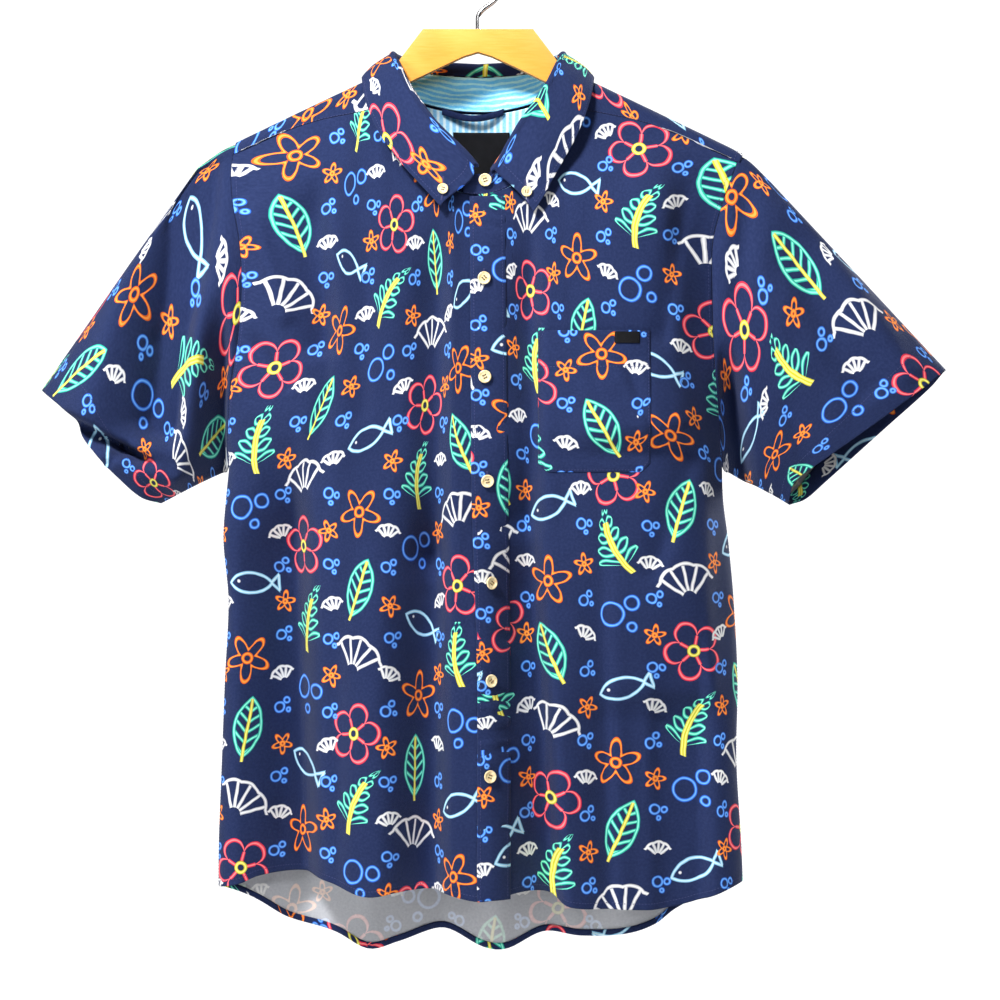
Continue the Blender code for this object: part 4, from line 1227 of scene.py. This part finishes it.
SLEEVE_BACK_FOLDS = metres(
    (240, -190, 290, -430, 10, 16, -5), (275, -200, 365, -410, 14, 12, 4),
    (228, -330, 230, -470, 7, 9, -9), (250, -330, 275, -480, 9, 12, 4),
    (300, -260, 390, -390, 8, 12, -3),
)
# Tucks between the body and each sleeve, where both its sides lie back.
SLEEVE_TUCKS = metres(
    (-229, -290, -229, -530, 15, 6, 24), (224, -330, 250, -530, 18, 5, 30),
)
# How far each hem swells out from a straight line: share of the way from its tip, distance.
RIGHT_HEM = ((0.0, 0.0), (0.27, -0.003), (0.4, 0.003), (0.55, 0.0062), (0.72, 0.0078), (0.9, 0.007),
             (1.0, 0.0))
LEFT_HEM = ((0.0, 0.0), (0.42, -0.0052), (0.8, -0.011), (0.92, -0.011), (1.0, 0.0))
RIGHT_BACK_HEM = ((0.0, 0.0), (0.5, 0.0006), (1.0, 0.0))
LEFT_BACK_HEM = ((0.0, 0.0), (0.1, 0.005), (0.42, 0.0115), (0.8, 0.0192), (0.92, 0.019), (1.0, 0.002))
# Name, node, side, hem's outer and lower tip, half its depth, lift at the bend, line of the
# hem in front and what its back adds, folds of the front, area of the cut.
SLEEVES = (
    ("right_sleeve", "sleeve_right", -1, (0.3924, -0.382), (0.285, -0.484), 0.03, 0.014,
     RIGHT_HEM, RIGHT_BACK_HEM, RIGHT_SLEEVE_FOLDS, 0.088),
    ("left_sleeve", "sleeve_left", 1, (0.4212, -0.364), (0.279, -0.484), 0.021, 0.003,
     LEFT_HEM, LEFT_BACK_HEM, LEFT_SLEEVE_FOLDS, 0.088),
)


def armhole_point(side, share, on_back):
    """A point of the armhole seam by its share of the way from the shoulder down."""
    x = armhole_half(side, ridge(ARMHOLE_TOP_HALF))
    z = ridge(x) - drop_at(share * length_of(ridge(x) - ARMHOLES[0][0]))
    face = back_point if on_back else front_point
    return face(side * armhole_half(side, z), z)


def sleeve_sheet(side, tip, low, hem_depth, lift, hem_line, back_hem, front_folds):
    """place(u, v) of a sleeve: round its ring with u, from the hem to the armhole with v."""
    tip = Vector((side * tip[0], 0.0, tip[1]))
    low = Vector((side * low[0], 0.0, low[1]))
    middle, half = (tip + low) / 2, (tip - low) / 2
    outward = Vector((half.z, 0.0, -half.x)).normalized() * side
    starts = {}

    def place(u, v):
        way = u if side < 0 else 1.0 - u
        on_back = way > 0.5
        ring = 2.0 * (1.0 - way if on_back else way)
        share, degrees = along(SLEEVE_RING, ring, 1), along(SLEEVE_RING, ring, 2)
        angle = math.radians(-degrees if on_back else degrees)
        key = round(u, 6)
        if key not in starts:
            starts[key] = armhole_point(side, min(1.0, max(0.0, share)), on_back)
        start = starts[key]
        end = middle + half * math.cos(angle) + Vector((0.0, -hem_depth * math.sin(angle), 0.0))
        down_hem = (1.0 - math.cos(angle)) / 2
        end += outward * (along(hem_line, down_hem, 1) + (along(back_hem, down_hem, 1) if on_back else 0.0))
        t = 1.0 - v
        point = start.lerp(end, t)
        inward = (Vector((start.x, 0.0, ARMHOLE_MIDDLE_Z)) - start).normalized()
        seam_roll = SEAM_ROLL * bell((t - SEAM_ROLL_AT) / SEAM_ROLL_HALF)
        point += inward * (SEAM_DIP * (1.0 - blend(t / SEAM_DIP_SPAN)) - seam_roll)
        rise = t / SLEEVE_BEND if t < SLEEVE_BEND else (1.0 - t) / (1.0 - SLEEVE_BEND)
        along_top = max(0.0, math.cos(angle)) ** 2
        point += Vector((side * SLEEVE_LIFT[0], 0.0, SLEEVE_LIFT[1])) * (lift * rise * along_top)
        point.y -= SLEEVE_BELLY * hump(t) * math.sin(angle)
        if on_back:
            lifted = folds(SLEEVE_BACK_FOLDS, abs(point.x), point.z)
        else:
            lifted = folds(front_folds, point.x, point.z)
        lifted += rumple(point.x, point.z, 11.0 + side + (4.0 if on_back else 0.0))
        free = blend(abs(math.sin(angle)) / FREE_TURN) * blend(t / FREE_SPAN)
        facing = 1.0 if on_back else -1.0
        point.y += lifted * free * facing
        # The two sides of the sleeve close on each other, but never pass.
        apart = LEAST_APART * abs(math.sin(angle)) * blend(t / APART_SPAN)
        past = point.y * facing - apart
        point.y = facing * (apart + (past + math.hypot(past, apart)) / 2) if apart else point.y
        # They meet along its top.
        point.y *= math.sin(math.pi / 2 * min(1.0, ring / TOP_ROUND))
        point.y += folds(SLEEVE_TUCKS, point.x, point.z) * blend(t / TUCK_SPAN)
        return point

    return place


sleeve_cut = strip_cut(SLEEVE_CUT, SLEEVE_ROUND, SLEEVE_LENGTH)
hem_share = SLEEVE_HEM / SLEEVE_LENGTH
hem_line = hem_share * SLEEVE_STITCH_LINE
for name, node, side, tip, low, hem_depth, lift, front_hem_line, back_hem, front_folds, area in SLEEVES:
    lay = sleeve_sheet(side, tip, low, hem_depth, lift, front_hem_line, back_hem, front_folds)
    sleeve = sewn(name, node, 168, 84, lay, sleeve_cut, (0.0, EDGE / SLEEVE_LENGTH), closed=True)
    hem = hem_inside(name + "_hem", lay, sleeve_cut, hem_share, 132, 8, closed=True)
    thread = stitched(name + "_thread", lay, [row(0.0, hem_line, 1.0, hem_line)])


# The collar: a fused stand sewn to the neck, poplin outside and striped chambray inside, and
# a fused poplin leaf that rises from it, rolls over and falls to two buttoned points.
COLLAR_CLOTH = 0.001
LEAF_CLOTH = 0.0012
# From the centre front (0) round to the centre back (180): angle, then the stand's top
# edge, the roll line and the leaf's outer edge, each as x, y, z in millimetres.
COLLAR = (
    (6, (9.5, -40.5, -192), (8, -43.5, -190.5), (46.3, -49, -221.5)),
    (20, (22.5, -39.5, -174), (20.5, -42.5, -171), (55.5, -47.5, -208.5)),
    (34, (37, -36.5, -154.5), (34.5, -39, -150), (65, -45, -193)),
    (48, (50, -31, -136.5), (47.8, -32.5, -131), (75.5, -40, -176.5)),
    (62, (62.5, -23, -117.5), (60, -24, -112), (88, -33, -155.5)),
    (76, (74, -12, -99), (69.2, -12.5, -92.5), (99, -22, -128)),
    (90, (79.5, 0, -89), (74.2, 0, -80.8), (104, -1, -101.5)),
    (105, (77, 11, -90), (71.4, 12, -81), (100, 20, -108)),
    (125, (66, 22, -92), (63, 23.5, -82.2), (80, 34, -120)),
    (150, (40, 31, -95), (38.5, 32, -84.5), (46, 44, -127)),
    (180, (0, 34.5, -97), (0, 36, -86.2), (0, 48, -130)),
)
COLLAR_SKEW = (0.0035, -0.005)
SKEW_END = 80.0
SKEW_SPAN = 60.0
# How far the ends of the leaf lie in from their even line and up: the wearer's right one
# swells over the throat, the left one hangs a little lower.
RIGHT_LAP = {2: (0.011, 0.001), 3: (0.013, -0.0075)}
LEFT_LAP = {2: (-0.002, -0.004), 3: (0.0, -0.002)}
LAP_END = 40.0
LAP_SPAN = 31.0
RIGHT_SWELL = 0.017
LEAF_ROLL = 0.0024
LEAF_RISE = 0.15
LEAF_FALL = 0.45
LEAF_BELLY = 0.003
LEAF_WAVE = 0.0007
LEAF_WAVES = (22.0, 2.5)
LEAF_LIFT = 0.0009
LEAF_CUT = (0.045, 0.02)
LEAF_START = math.radians(5.5)
STAND_SEAM = 0.0016
STAND_TUCK = 0.0034
STAND_TUCK_START = 0.55
STAND_TUCK_SPAN = 0.25
STAND_LAP = math.radians(6.0)
STAND_LENGTH = 0.47
STAND_HEIGHT = 0.032
STAND_EDGES = (0.002, 0.03)
STAND_FOOT = 0.1
STAND_CUT = (0.11, 0.031)
LEAF_LENGTH = 0.48
LEAF_HEIGHT = 0.085
LINED_INSET = 0.0012
SIDE_DRAW = 0.25


def collar_point(kind, angle):
    """A point of the stand's top (1), the roll line (2) or the leaf's edge (3)."""
    degrees = abs(math.degrees(angle))
    rows = COLLAR_ROWS[kind]
    x, y, z = (along(rows, degrees, column) for column in (1, 2, 3))
    if kind == 3:
        front = blend((SKEW_END - degrees) / SKEW_SPAN) * math.copysign(0.5, angle)
        x += COLLAR_SKEW[0] * front
        z += COLLAR_SKEW[1] * front * 2
    if kind > 1:
        in_by, up_by = (RIGHT_LAP if angle < 0.0 else LEFT_LAP)[kind]
        lapped = blend((LAP_END - degrees) / LAP_SPAN)
        x -= in_by * lapped
        z += up_by * lapped
    return Vector((x * math.copysign(1.0, angle), y, z))


COLLAR_ROWS = {kind: [(points[0], *metres(points[kind])[0]) for points in COLLAR] for kind in (1, 2, 3)}


def round_the_neck(angle):
    """An angle from the centre front over the wearer's left, as one from -180 to 180."""
    return math.copysign(math.pi - abs(math.pi - abs(angle)), math.sin(angle) or 1.0)


def closer_at_sides(angle):
    """Draws a ring's columns together over the shoulders, where the collar turns most."""
    return angle + SIDE_DRAW * math.sin(2 * angle)


def stand_point(angle, v):
    """The stand's outer face, from the neck seam to its top, with its under end tucked in."""
    x, z, on_back = neck_seam(abs(angle))
    x = math.copysign(x, math.sin(angle) or 1.0) * (1.0 - STAND_SEAM / NECK_HALF)
    z += STAND_SEAM * max(-0.1 * math.cos(angle), -math.cos(angle))
    low = back_point(x, z) if on_back else front_point(x, z)
    point = low.lerp(collar_point(1, round_the_neck(angle)), v)
    under = STAND_TUCK * blend((angle - 2 * math.pi + STAND_TUCK_START) / STAND_TUCK_SPAN)
    return point + Vector((-point.x, -point.y, 0.0)).normalized() * under


def stand_sheet(start, end, inset, foot=0.0):
    """place(u, v) of a stand layer, that far inside the outer face and above its foot in front."""
    def place(u, v):
        angle = closer_at_sides(start + (end - start) * u)
        v += foot * (1.0 - v) * max(0.0, math.cos(angle))
        return stand_point(angle, v) - normal_of(stand_point, angle, v, 0.02) * inset

    return place


def leaf_sheet(u, v):
    """place(u, v) of the turned-down leaf: up from the stand, over the roll, to its edge."""
    angle = round_the_neck(closer_at_sides(LEAF_START + 2 * (math.pi - LEAF_START) * (1.0 - u)))
    stand_top = collar_point(1, angle)
    roll = collar_point(2, angle)
    edge = collar_point(3, angle)
    stand_top.z += STAND_SEAM
    away = Vector((edge.x - roll.x, edge.y - roll.y, 0.0)).normalized()
    over = roll + away * LEAF_ROLL * 2
    if v < LEAF_RISE:
        return stand_top.lerp(roll, v / LEAF_RISE)
    if v < LEAF_FALL:
        arc = math.pi * (v - LEAF_RISE) / (LEAF_FALL - LEAF_RISE)
        point = roll.lerp(over, (1.0 - math.cos(arc)) / 2)
        point.z += LEAF_ROLL * math.sin(arc)
        return point
    t = (v - LEAF_FALL) / (1.0 - LEAF_FALL)
    ripple = noise.noise(Vector((u * LEAF_WAVES[0], t * LEAF_WAVES[1], 3.0)))
    wave = LEAF_WAVE * hump(t) * ripple
    point = over.lerp(edge, t) + away * (LEAF_BELLY * hump(t) + wave)
    if angle < 0.0:
        lapped = blend((LAP_END - math.degrees(-angle)) / LAP_SPAN)
        point.x += RIGHT_SWELL * lapped**2 * hump(t) * (1.0 - t)
    return point


STRIPES_ALONG = chambray("chambray striped along", "Y", 24.0, ((0.11, 0.54, 0.98), (0.22, 0.68, 1.0),
                                                               (0.37, 0.82, 1.0), (0.64, 0.95, 1.0)))
stand_start, stand_end = -STAND_LAP, 2 * math.pi + STAND_LAP / 2
stand_step = (stand_end - stand_start) / 32
stand_outside = stand_sheet(stand_start, stand_end, 0.0)
stand_inside = stand_sheet(stand_start + stand_step, stand_end - stand_step, COLLAR_CLOTH + LINED_INSET,
                           STAND_FOOT)


stand_cut = strip_cut(STAND_CUT, STAND_LENGTH, STAND_HEIGHT)
stand = sewn("collar_stand", "collar_stand_outer", 132, 12, stand_outside, stand_cut, STAND_EDGES,
             wall=COLLAR_CLOTH)
stand_thread = stitched("stand_thread", stand_outside, [
    row(0.004, 0.05, 0.996, 0.05),
    row(0.004, 0.93, 0.1, 0.93),
    row(0.9, 0.93, 0.996, 0.93),
])
stand_lining = sewn("collar_stand_lining", "collar_stand_inner", 132, 12, stand_inside, stand_cut,
                    STAND_EDGES, wall=THIN, faces=(STRIPES_ALONG,))

leaf_outside = layer(leaf_sheet, LEAF_LIFT)
leaf_cut = strip_cut(LEAF_CUT, LEAF_LENGTH, -LEAF_HEIGHT)
leaf = sewn("collar_leaf_piece", "collar_leaf", 150, 46, leaf_outside, leaf_cut, (0.0022, 0.012),
            wall=LEAF_CLOTH, faces=(POPLIN,))
leaf_routes = [row(0.011, 0.952, 0.989, 0.952), *both(0.011, 0.46, 0.011, 0.952)]
leaf_thread = stitched("leaf_thread", leaf_outside, leaf_routes)


# The buttons: cream resin, turned with a raised rim and a dished middle, drilled with four
# holes and sewn on with brown thread. One closes the stand, six the placket, and a smaller
# one holds each point of the collar. Each passes through a worked buttonhole.
BUTTON_RADIUS = 0.0058
COLLAR_BUTTON_RADIUS = 0.0048
# Half of a button's outline, from the middle of its back to the middle of its face, as
# shares of its radius.
BUTTON_OUTLINE = (
    (0.0, 0.0), (0.78, 0.0), (0.95, 0.1), (1.0, 0.2), (0.985, 0.32), (0.93, 0.385),
    (0.85, 0.4), (0.76, 0.37), (0.66, 0.29), (0.56, 0.265), (0.0, 0.255),
)
HOLE_RADIUS = 0.125
HOLE_SPACING = 0.205
BUTTON_STAND_OFF = 0.0005
# The thread over a button and its shank below, in radii of the button.
SEWING_UP, SEWING = 0.26, (0.29, 0.075, 0.085)
SHANK_DOWN, SHANK_FOOT, SHANK_TOP, SHANK_TALL = 0.04, 0.3, 0.26, 0.16
STAND_BUTTON_ROUND = 0.0165
STAND_BUTTON_UP = 0.7
# Places of the buttons on the leaf's points: u and v.
COLLAR_BUTTONS = (("collar_button_left", 0.991, 0.8), ("collar_button_right", 0.012, 0.86))


def button_shape():
    """A button of radius 1 lying on z = 0, with its holes cut."""
    turned = bmesh.new()
    points = [turned.verts.new((r, 0.0, z)) for r, z in BUTTON_OUTLINE]
    edges = [turned.edges.new(pair) for pair in zip(points, points[1:])]
    bmesh.ops.spin(turned, geom=points + edges, cent=(0.0, 0.0, 0.0), axis=(0.0, 0.0, 1.0),
                   angle=2 * math.pi, steps=40, use_merge=True)
    bmesh.ops.remove_doubles(turned, verts=turned.verts, dist=0.0005)
    bmesh.ops.recalc_face_normals(turned, faces=turned.faces)
    drills = bmesh.new()
    for across in (-HOLE_SPACING, HOLE_SPACING):
        for up in (-HOLE_SPACING, HOLE_SPACING):
            spot = Matrix.Translation((across, up, 0.2))
            bmesh.ops.create_cone(drills, cap_ends=True, segments=14, radius1=HOLE_RADIUS,
                                  radius2=HOLE_RADIUS, depth=1.0, matrix=spot)
    pieces = []
    for shape in (turned, drills):
        pieces.append(bpy.data.objects.new("blank", mesh_of("blank", shape)))
        scene.collection.objects.link(pieces[-1])
    drilled = pieces[0].modifiers.new("holes", "BOOLEAN")
    drilled.operation = "DIFFERENCE"
    drilled.solver = "EXACT"
    drilled.object = pieces[1]
    bpy.context.view_layer.update()
    shown = bpy.context.evaluated_depsgraph_get()
    mesh = bpy.data.meshes.new_from_object(pieces[0].evaluated_get(shown))
    for piece in pieces:
        bpy.data.objects.remove(piece, do_unlink=True)
    mesh.shade_smooth()
    mesh.set_sharp_from_angle(angle=math.radians(50.0))
    return mesh


def cream_resin():
    """Pale cream, faintly clouded and streaked with darker brown, and polished."""
    finish = Finish("cream resin", (0.8, 0.7, 0.47), 0.3, Specular_IOR_Level=0.5, Coat_Weight=0.25,
                    Coat_Roughness=0.15, Subsurface_Weight=0.05, Subsurface_Scale=0.001)
    place = finish.place()
    cloud = finish.noise(place, 240.0, 3.0)
    streak = finish.noise(place, 900.0, 2.0)
    ground = cloud.ramp(0.3, 0.72).mixed((0.72, 0.56, 0.3), (0.92, 0.8, 0.53))
    finish.feed("Base Color", streak.ramp(0.66, 0.8, 0.0, 0.5).mixed(ground, (0.42, 0.26, 0.11)))
    finish.feed("Roughness", cloud.ramp(0.3, 0.7, 0.26, 0.4))
    finish.bump(streak + cloud, 0.00006)
    return finish.material


RESIN = cream_resin()
BROWN_THREAD = spun("brown thread", (0.16, 0.09, 0.045), 0.7, 2600.0, (0.09, 0.05, 0.025), (0.24, 0.15, 0.08))
blank_button = button_shape()


def on_sheet(place, u, v):
    """A frame on a sheet: its z outwards, its x along u."""
    over_u, normal = facing(place, u, v)
    across = over_u.normalized()
    turn = Matrix((across, normal.cross(across), normal)).transposed().to_4x4()
    return Matrix.Translation(place(u, v)) @ turn


def sew_button(node, radius, seat, turn):
    """A button and its thread on a seat, turned a little as it was sewn."""
    seat = seat @ Matrix.Translation((0.0, 0.0, BUTTON_STAND_OFF)) @ Matrix.Rotation(turn, 4, "Z")
    seat = seat @ Matrix.Scale(radius, 4)
    mesh = blank_button.copy()
    mesh.transform(seat)
    placed(node.replace("button", "sewn_button"), mesh, (RESIN,), node)
    thread = bmesh.new()
    for up in (-HOLE_SPACING, HOLE_SPACING):
        spot = seat @ Matrix.Translation((0.0, up, SEWING_UP)) @ Matrix.Diagonal((*SEWING, 1.0))
        bmesh.ops.create_icosphere(thread, subdivisions=2, radius=1.0, matrix=spot)
    shank = seat @ Matrix.Translation((0.0, 0.0, -SHANK_DOWN))
    bmesh.ops.create_cone(thread, cap_ends=True, segments=12, radius1=SHANK_FOOT, radius2=SHANK_TOP,
                          depth=SHANK_TALL, matrix=shank)
    mesh = mesh_of("thread", thread)
    mesh.shade_smooth()
    placed(node.replace("button", "button_thread"), mesh, (BROWN_THREAD,))


def placket_place(z, x):
    """u and v on the placket at a height and across."""
    low = front_hem(PLACKET_FOOT_X)
    free, stitched_edge = along(PLACKET, z, 1), along(PLACKET, z, 2)
    return (x - free) / (stitched_edge - free), (z - low) / (PLACKET_TOP_Z - low)


BUTTONHOLE = 0.0078
BAR = (0.0012, 0.00032, 0.00022)
BAR_GAP = 0.0006
LEAF_HOLE = (0.008, 0.085)
HOLE_DOWN, HOLE_UP = 0.75, 1.1


def worked(name, place, routes):
    """Buttonholes, worked with close bars of thread across them."""
    stitched(name, place, routes, stitch=BAR_GAP, half=BAR, turned=math.pi / 2)


holes = []
sew_button("button_1", BUTTON_RADIUS, on_sheet(stand_outside, STAND_BUTTON_ROUND, STAND_BUTTON_UP), 0.3)
for number in range(2, 8):
    low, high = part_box(f"button_{number}")
    u, v = placket_place((low[2] + high[2]) / 2, (low[0] + high[0]) / 2)
    sew_button(f"button_{number}", BUTTON_RADIUS, on_sheet(placket_sheet, u, v), 0.8 * math.sin(number * 2.3))
    reach_v = BUTTONHOLE / PLACKET_LENGTH
    holes.append(row(u, v - reach_v * HOLE_DOWN, u, v + reach_v * HOLE_UP))
worked("placket_buttonholes", placket_sheet, holes)
leaf_holes = []
for node, u, v in COLLAR_BUTTONS:
    sew_button(node, COLLAR_BUTTON_RADIUS, on_sheet(leaf_outside, u, v), 0.5)
    inward, down = math.copysign(LEAF_HOLE[0], 0.5 - u), LEAF_HOLE[1]
    leaf_holes.append(row(u - inward, v + down, u + inward, v - down))
worked("collar_buttonholes", leaf_outside, leaf_holes)
worked("stand_buttonhole", stand_outside, [row(0.008, STAND_BUTTON_UP, 0.046, STAND_BUTTON_UP)])


# The hanger's wood: a flat bow sawn from a pale board, its edges rounded and its faces
# sanded and varnished. It carries the shirt by the yoke.
WOOD_THICKNESS = 0.011
WOOD_EDGE = 0.0032
WOOD_NECK = ((0.0708, -0.086), (0.072, -0.1075))
WOOD_NECK_HALF = 0.094
WOOD_TOP_HALF = 0.0495
WOOD_CLEAR = 0.0064
WOOD_ARM_DEPTH = 0.0185
WOOD_ARM_HALF = 0.229
WOOD_ARCH_Z = -0.0785
WOOD_ARCH_SLOPE = 0.485
WOOD_ARCH_PEAK = 0.006
WOOD_TOP_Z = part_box("hanger_body")[1][2]


def bow_top():
    """The upper edge of half of the bow, from its middle to where its rounded tip starts."""
    edge = [(WOOD_TOP_HALF * step / 4, WOOD_TOP_Z) for step in range(5)]
    edge += [((WOOD_TOP_HALF + WOOD_NECK[0][0]) / 2, (WOOD_TOP_Z + WOOD_NECK[0][1]) / 2), *WOOD_NECK]
    last = WOOD_ARM_HALF - WOOD_ARM_DEPTH / 2
    for step in range(13):
        x = WOOD_NECK_HALF + (last - WOOD_NECK_HALF) * step / 12
        edge.append((x, ridge(x) - WOOD_CLEAR))
    return edge


def bow_arch(x):
    """Height of the bow's under edge."""
    return WOOD_ARCH_Z - WOOD_ARCH_SLOPE * (math.hypot(x, WOOD_ARCH_PEAK) - WOOD_ARCH_PEAK)


def blonde_wood():
    """Pale yellow wood: broad soft bands, fine fibres along the board, a thin satin varnish."""
    finish = Finish("blonde wood", (0.88, 0.38, 0.07), 0.4, Specular_IOR_Level=0.5, Coat_Weight=0.2,
                    Coat_Roughness=0.25)
    place = finish.place()
    x, y, z = place.part("X"), place.part("Y"), place.part("Z")
    board = finish.joined(x * 0.6 + z * 0.35, y * 1.5, z * 1.4 - x * 0.1)
    wander = finish.noise(board, 9.0, 2.0)
    rings = ((x * 0.9 + z * 0.45 + y * 0.6) * 95.0 + wander * 9.0).sine()
    stretched = finish.joined(x * 0.06, y, z + abs(x) * 0.02)
    fibre = finish.noise(stretched, 900.0, 3.0)
    broad = finish.noise(board, 22.0, 2.0)
    tone = rings.ramp(-1.0, 1.0) * 0.35 + broad.ramp(0.3, 0.7) * 0.4 + fibre.ramp(0.3, 0.7) * 0.25
    finish.feed("Base Color", tone.mixed((0.83, 0.33, 0.052), (0.95, 0.43, 0.09)))
    finish.feed("Roughness", fibre.ramp(0.3, 0.7, 0.34, 0.48))
    finish.bump(fibre + rings * 0.1, 0.00012)
    return finish.material


edge = bow_top()
tip_x, tip_z = edge[-1]
tip_half = (tip_z - bow_arch(tip_x)) / 2
tip_steps = 6
stations = [((x, z), (x, bow_arch(x))) for x, z in edge]
for step in range(1, tip_steps + 1):
    turn = math.pi / 2 * step / tip_steps
    out, up = WOOD_ARM_DEPTH / 2 * math.sin(turn), tip_half * math.cos(turn)
    middle = tip_z - tip_half - RIDGE_SLOPE * out
    stations.append(((tip_x + out, middle + up), (tip_x + out, middle - up)))
bow = bmesh.new()
bmesh.ops.create_grid(bow, x_segments=2 * (len(stations) - 1), y_segments=1, size=len(stations) - 1)
for vertex in bow.verts:
    across = round(vertex.co.x)
    x, z = stations[abs(across)][0 if vertex.co.y > 0.0 else 1]
    vertex.co = (math.copysign(x, across), -WOOD_THICKNESS / 2, z)
bmesh.ops.remove_doubles(bow, verts=bow.verts, dist=WELD)
grown = bmesh.ops.extrude_face_region(bow, geom=bow.faces[:])
far_side = [item for item in grown["geom"] if isinstance(item, bmesh.types.BMVert)]
bmesh.ops.translate(bow, verts=far_side, vec=(0.0, WOOD_THICKNESS, 0.0))
bmesh.ops.recalc_face_normals(bow, faces=bow.faces)
rims = [edge for edge in bow.edges if edge.calc_face_angle(0.0) > math.radians(50.0)]
bmesh.ops.bevel(bow, geom=rims, offset=WOOD_EDGE, offset_type="OFFSET", affect="EDGES", segments=4,
                profile=0.5, material=-1, clamp_overlap=True)
bow_mesh = mesh_of("wooden_bow", bow)
bow_mesh.shade_smooth()
bow_mesh.set_sharp_from_angle(angle=math.radians(35.0))
placed("wooden_bow", bow_mesh, (blonde_wood(),), "hanger_body")


# The hanger's hook: bright steel wire bent into a crook and screwed into the wood's top.
HOOK_WIRE = 0.0021
HOOK_INSIDE = 0.018
HOOK_START = math.radians(-50.0)
HOOK_SWEEP = math.radians(265.0)
HOOK_SHANK = 0.01
HOOK_SUNK = 0.003
HOOK_PULL = 0.007


def on_hook(angle):
    """A point of the hook's round part, whose inside top is the origin."""
    radius = HOOK_INSIDE + HOOK_WIRE
    return Vector((radius * math.cos(angle), 0.0, radius * math.sin(angle) - HOOK_INSIDE))


def bright_steel():
    finish = Finish("bright steel", (0.62, 0.62, 0.63), 0.25, Metallic=1.0)
    place = finish.place()
    drawn = finish.noise(place, 500.0, 3.0)
    dull = finish.noise(place, 70.0, 2.0)
    finish.feed("Roughness", (drawn * 0.5 + dull * 0.5).ramp(0.3, 0.7, 0.16, 0.34))
    finish.feed("Base Color", dull.mixed((0.52, 0.52, 0.54), (0.7, 0.7, 0.7)))
    finish.bump(drawn, 0.00003)
    return finish.material


knee = Vector((0.0, 0.0, WOOD_TOP_Z + HOOK_SHANK))
bend = on_hook(HOOK_START)
pull_up = knee + Vector((0.0, 0.0, HOOK_PULL))
pull_back = bend - Vector((-math.sin(HOOK_START), 0.0, math.cos(HOOK_START))) * HOOK_PULL
route = [Vector((0.0, 0.0, WOOD_TOP_Z - HOOK_SUNK)), Vector((0.0, 0.0, WOOD_TOP_Z + HOOK_SHANK / 2))]
for step in range(13):
    t = step / 12
    near_knee = knee * (1 - t) ** 3 + pull_up * (3 * t * (1 - t) ** 2)
    near_bend = pull_back * (3 * t * t * (1 - t)) + bend * t**3
    route.append(near_knee + near_bend)
for step in range(1, 57):
    route.append(on_hook(HOOK_START + HOOK_SWEEP * step / 56))
wire = bpy.data.curves.new("wire", "CURVE")
wire.dimensions = "3D"
wire.bevel_depth = HOOK_WIRE
wire.bevel_resolution = 5
wire.use_fill_caps = True
spline = wire.splines.new("POLY")
spline.points.add(len(route) - 1)
for point, spot in zip(spline.points, route):
    point.co = (*spot, 1.0)
bent = bpy.data.objects.new("wire", wire)
hook_mesh = bpy.data.meshes.new_from_object(bent)
bpy.data.objects.remove(bent, do_unlink=True)
hook_mesh.shade_smooth()
placed("steel_hook", hook_mesh, (bright_steel(),), "hanger_hook")
